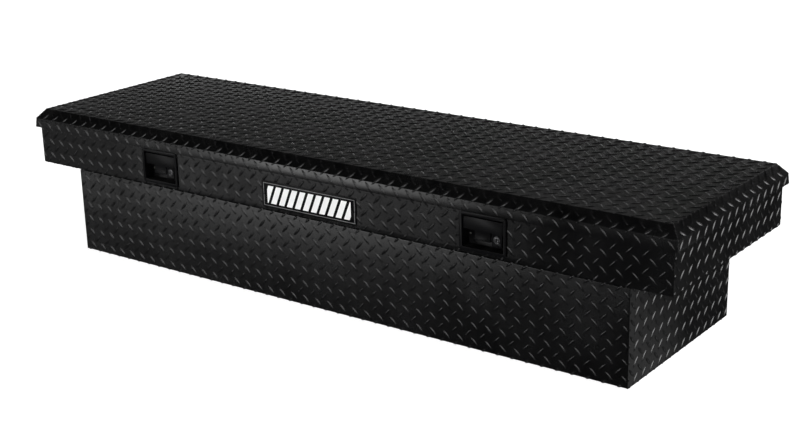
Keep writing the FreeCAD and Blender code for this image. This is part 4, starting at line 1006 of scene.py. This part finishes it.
def slab(bm, outline, front, depth):
    """A flat raised form parallel to the box's front."""
    near = [bm.verts.new((x, front, z)) for x, z in outline]
    far = [bm.verts.new((x, front + depth, z)) for x, z in outline]
    bm.faces.new(near)
    bm.faces.new(far[::-1])
    bridge(bm, far, near)


def build_badge():
    """Name plate without a name: a border line and a band of slanted stripes."""
    eased("badge_plate", "box", "badge", 0.35 * MM)
    low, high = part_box("badge_plate")
    front = low.y - 0.25 * MM
    depth = 0.5 * MM
    line = 1.0 * MM
    inset = 4.4 * MM
    bm = bmesh.new()
    x0, x1, z0, z1 = low.x + inset, high.x - inset, low.z + inset, high.z - inset
    for a, b, c, d in ((x0, x1, z1 - line, z1), (x0, x1, z0, z0 + line),
                       (x0, x0 + line, z0 + line, z1 - line), (x1 - line, x1, z0 + line, z1 - line)):
        slab(bm, [(a, c), (b, c), (b, d), (a, d)], front, depth)
    bmesh.ops.recalc_face_normals(bm, faces=bm.faces)
    piece_from(bm, "badge_border", "box", "badge", material="badge_grey")

    bm = bmesh.new()
    margin_x, margin_z = 15 * MM, 10.5 * MM
    x0, x1, z0, z1 = low.x + margin_x, high.x - margin_x, low.z + margin_z, high.z - margin_z
    stripes = 11
    lean = (z1 - z0) * 0.42
    step = (x1 - x0 + lean) / stripes
    width = step * 0.66
    for number in range(stripes):
        foot = x0 - lean + number * step + (step - width) / 2
        shape = [(foot, z0), (foot + width, z0), (foot + width + lean, z1), (foot + lean, z1)]
        shape = clip_band(shape, x0, x1)
        if len(shape) > 2:
            slab(bm, shape, front, depth)
    bmesh.ops.recalc_face_normals(bm, faces=bm.faces)
    piece_from(bm, "badge_stripes", "box", "badge", material="badge_white")


def clip_band(outline, x0, x1):
    """A convex outline cut to a range of X."""
    for limit, keep in ((x0, 1), (x1, -1)):
        result = []
        for (ax, az), (bx, bz) in zip(outline, outline[1:] + outline[:1]):
            if keep * (ax - limit) >= 0:
                result.append((ax, az))
            if (ax - limit) * (bx - limit) < 0:
                share = (limit - ax) / (bx - ax)
                result.append((limit, az + (bz - az) * share))
        outline = result
    return outline


# ------------------------ camera, floor and light

def build_camera():
    """The photograph's view of the box, from the right and above its front."""
    place = Vector((1.9654, -2.5469, 1.1872))
    azimuth = math.radians(36.808)  # from straight ahead of the box towards its right
    elevation = math.radians(17.938)
    roll = math.radians(-1.366)
    back = Vector((math.sin(azimuth) * math.cos(elevation), -math.cos(azimuth) * math.cos(elevation),
                   math.sin(elevation)))
    right = Vector((0, 0, 1)).cross(back).normalized()
    up = back.cross(right)
    tilted_right = right * math.cos(roll) + up * math.sin(roll)
    tilted_up = up * math.cos(roll) - right * math.sin(roll)
    camera = bpy.data.cameras.new("camera")
    camera.sensor_width = 36
    camera.lens = 64.686
    camera.clip_end = 200
    item = linked("camera", camera)
    turn = Matrix((tilted_right, tilted_up, back)).transposed().to_4x4()
    item.matrix_world = Matrix.Translation(place) @ turn
    bpy.context.scene.camera = item


def build_floor():
    """A pale light table: it glows evenly, so the box stands on white.

    It casts no shadow and shows in no reflection, so the studio's light also reaches the box from below.
    """
    bm = bmesh.new()
    bmesh.ops.create_grid(bm, x_segments=1, y_segments=1, size=40,
                          matrix=Matrix.Translation((0, 0, -BAR_HEIGHT - 0.1 * MM)))
    item = object_from(bm, "floor")
    material, _, shader = node_tree("pale_floor")
    shader.inputs["Base Color"].default_value = (0.5, 0.5, 0.5, 1)
    shader.inputs["Roughness"].default_value = 0.9
    shader.inputs["Specular IOR Level"].default_value = 0.1
    shader.inputs["Emission Color"].default_value = (1, 1, 1, 1)
    shader.inputs["Emission Strength"].default_value = 0.92
    item.data.materials.append(material)
    item.visible_glossy = False
    item.visible_shadow = False


# Soft panels round the studio, in degrees: middle and half-width in azimuth from +X towards +Y, lower and
# upper edge in elevation, and brightness.
PANELS = [
    (233, 6, -13, 10, 7.0),     # front: the sheen of the lid's edge above the badge
    (219, 18, -24, 12, 0.24),   # front left: the even sheen along the front
    (270, 9, -8, 2, 0.5),       # front, at eye level: the sheen seen square on
    (273, 14, 10, 40, 5.0),     # front right: the lit flanks of the front's bars
    (128, 30, -1, 5, 1.4),      # rear: the lit crests of the lid's bars
    (92, 8, 10, 22, 1.1),       # rear right: glints on the ends of the lid's bars
    (135, 30, 26, 44, 0.4),     # rear, high: the lid's sheen from above
    (20, 14, 2, 28, 12.0),      # right: the lit flanks on the end
    (38, 10, -24, -4, 0.6),     # rear right: the sheen along the back
    (54, 8, -45, -21, 0.5),     # right, low: the sheen on the tub's end
]
EDGE = 3                        # softness of a panel's edge, in degrees


def step_between(tree, value, low, high):
    """A smooth rise from 0 at one value to 1 at another."""
    made = spread(tree, value, 0, 1, low, high)
    made.node.interpolation_type = "SMOOTHSTEP"
    return made


def panel_glow(tree, azimuth, rise, panel):
    """One soft-edged panel of the studio, from a direction's azimuth and the sine of its elevation."""
    middle, half, low, high, brightness = panel
    off = maths(tree, "SUBTRACT", azimuth, math.radians(middle))
    away = maths(tree, "ARCCOSINE", maths(tree, "COSINE", off))
    glow = step_between(tree, away, math.radians(half + EDGE), math.radians(half - EDGE))
    for edge, way in ((low, 1), (high, -1)):
        bounds = (math.sin(math.radians(edge + sign * way * EDGE)) for sign in (-1, 1))
        glow = maths(tree, "MULTIPLY", glow, step_between(tree, rise, *bounds))
    return maths(tree, "MULTIPLY", glow, brightness)


def build_light():
    """A dark studio with soft panels round the box, and one soft sun high at the right rear.

    A camera sees the studio as plain white.
    """
    sun = bpy.data.lights.new("key", "SUN")
    sun.energy = 1.0
    sun.angle = math.radians(30)
    item = linked("key", sun)
    item.rotation_euler = Vector((0.58, 0.42, 0.70)).to_track_quat("Z", "Y").to_euler()
    item.visible_glossy = False

    world = bpy.data.worlds.new("studio")
    world.use_nodes = True
    bpy.context.scene.world = world
    tree = world.node_tree
    place = add_node(tree, "ShaderNodeTexCoord")
    split = add_node(tree, "ShaderNodeSeparateXYZ")
    tree.links.new(place.outputs["Generated"], split.inputs["Vector"])
    rise = split.outputs["Z"]
    total = spread(tree, rise, 0.09, 0.02, 0.2, 0.6)
    total = maths(tree, "MULTIPLY", total, spread(tree, rise, 0.25, 1, -0.35, 0))
    azimuth = maths(tree, "ARCTAN2", split.outputs["Y"], split.outputs["X"])
    for panel in PANELS:
        total = maths(tree, "ADD", total, panel_glow(tree, azimuth, rise, panel))
    seen = add_node(tree, "ShaderNodeLightPath").outputs["Is Camera Ray"]
    unseen = maths(tree, "MULTIPLY", total, maths(tree, "SUBTRACT", 1, seen))
    background = tree.nodes["Background"]
    background.inputs["Color"].default_value = (1, 1, 1, 1)
    tree.links.new(maths(tree, "ADD", unseen, seen), background.inputs["Strength"])

    settings = bpy.context.scene.view_settings
    settings.view_transform = "Standard"
    settings.look = "None"


# ------------------------ everything

build_camera()
build_floor()
build_light()
build_tub()
build_collar_front()
build_collar_rear()
for side_name, side_sign in SIDES.items():
    build_tub_end(side_name, side_sign)
    build_wing(side_name, side_sign)
build_lid()
build_hardware()
build_seal()
build_springs()
build_badge()
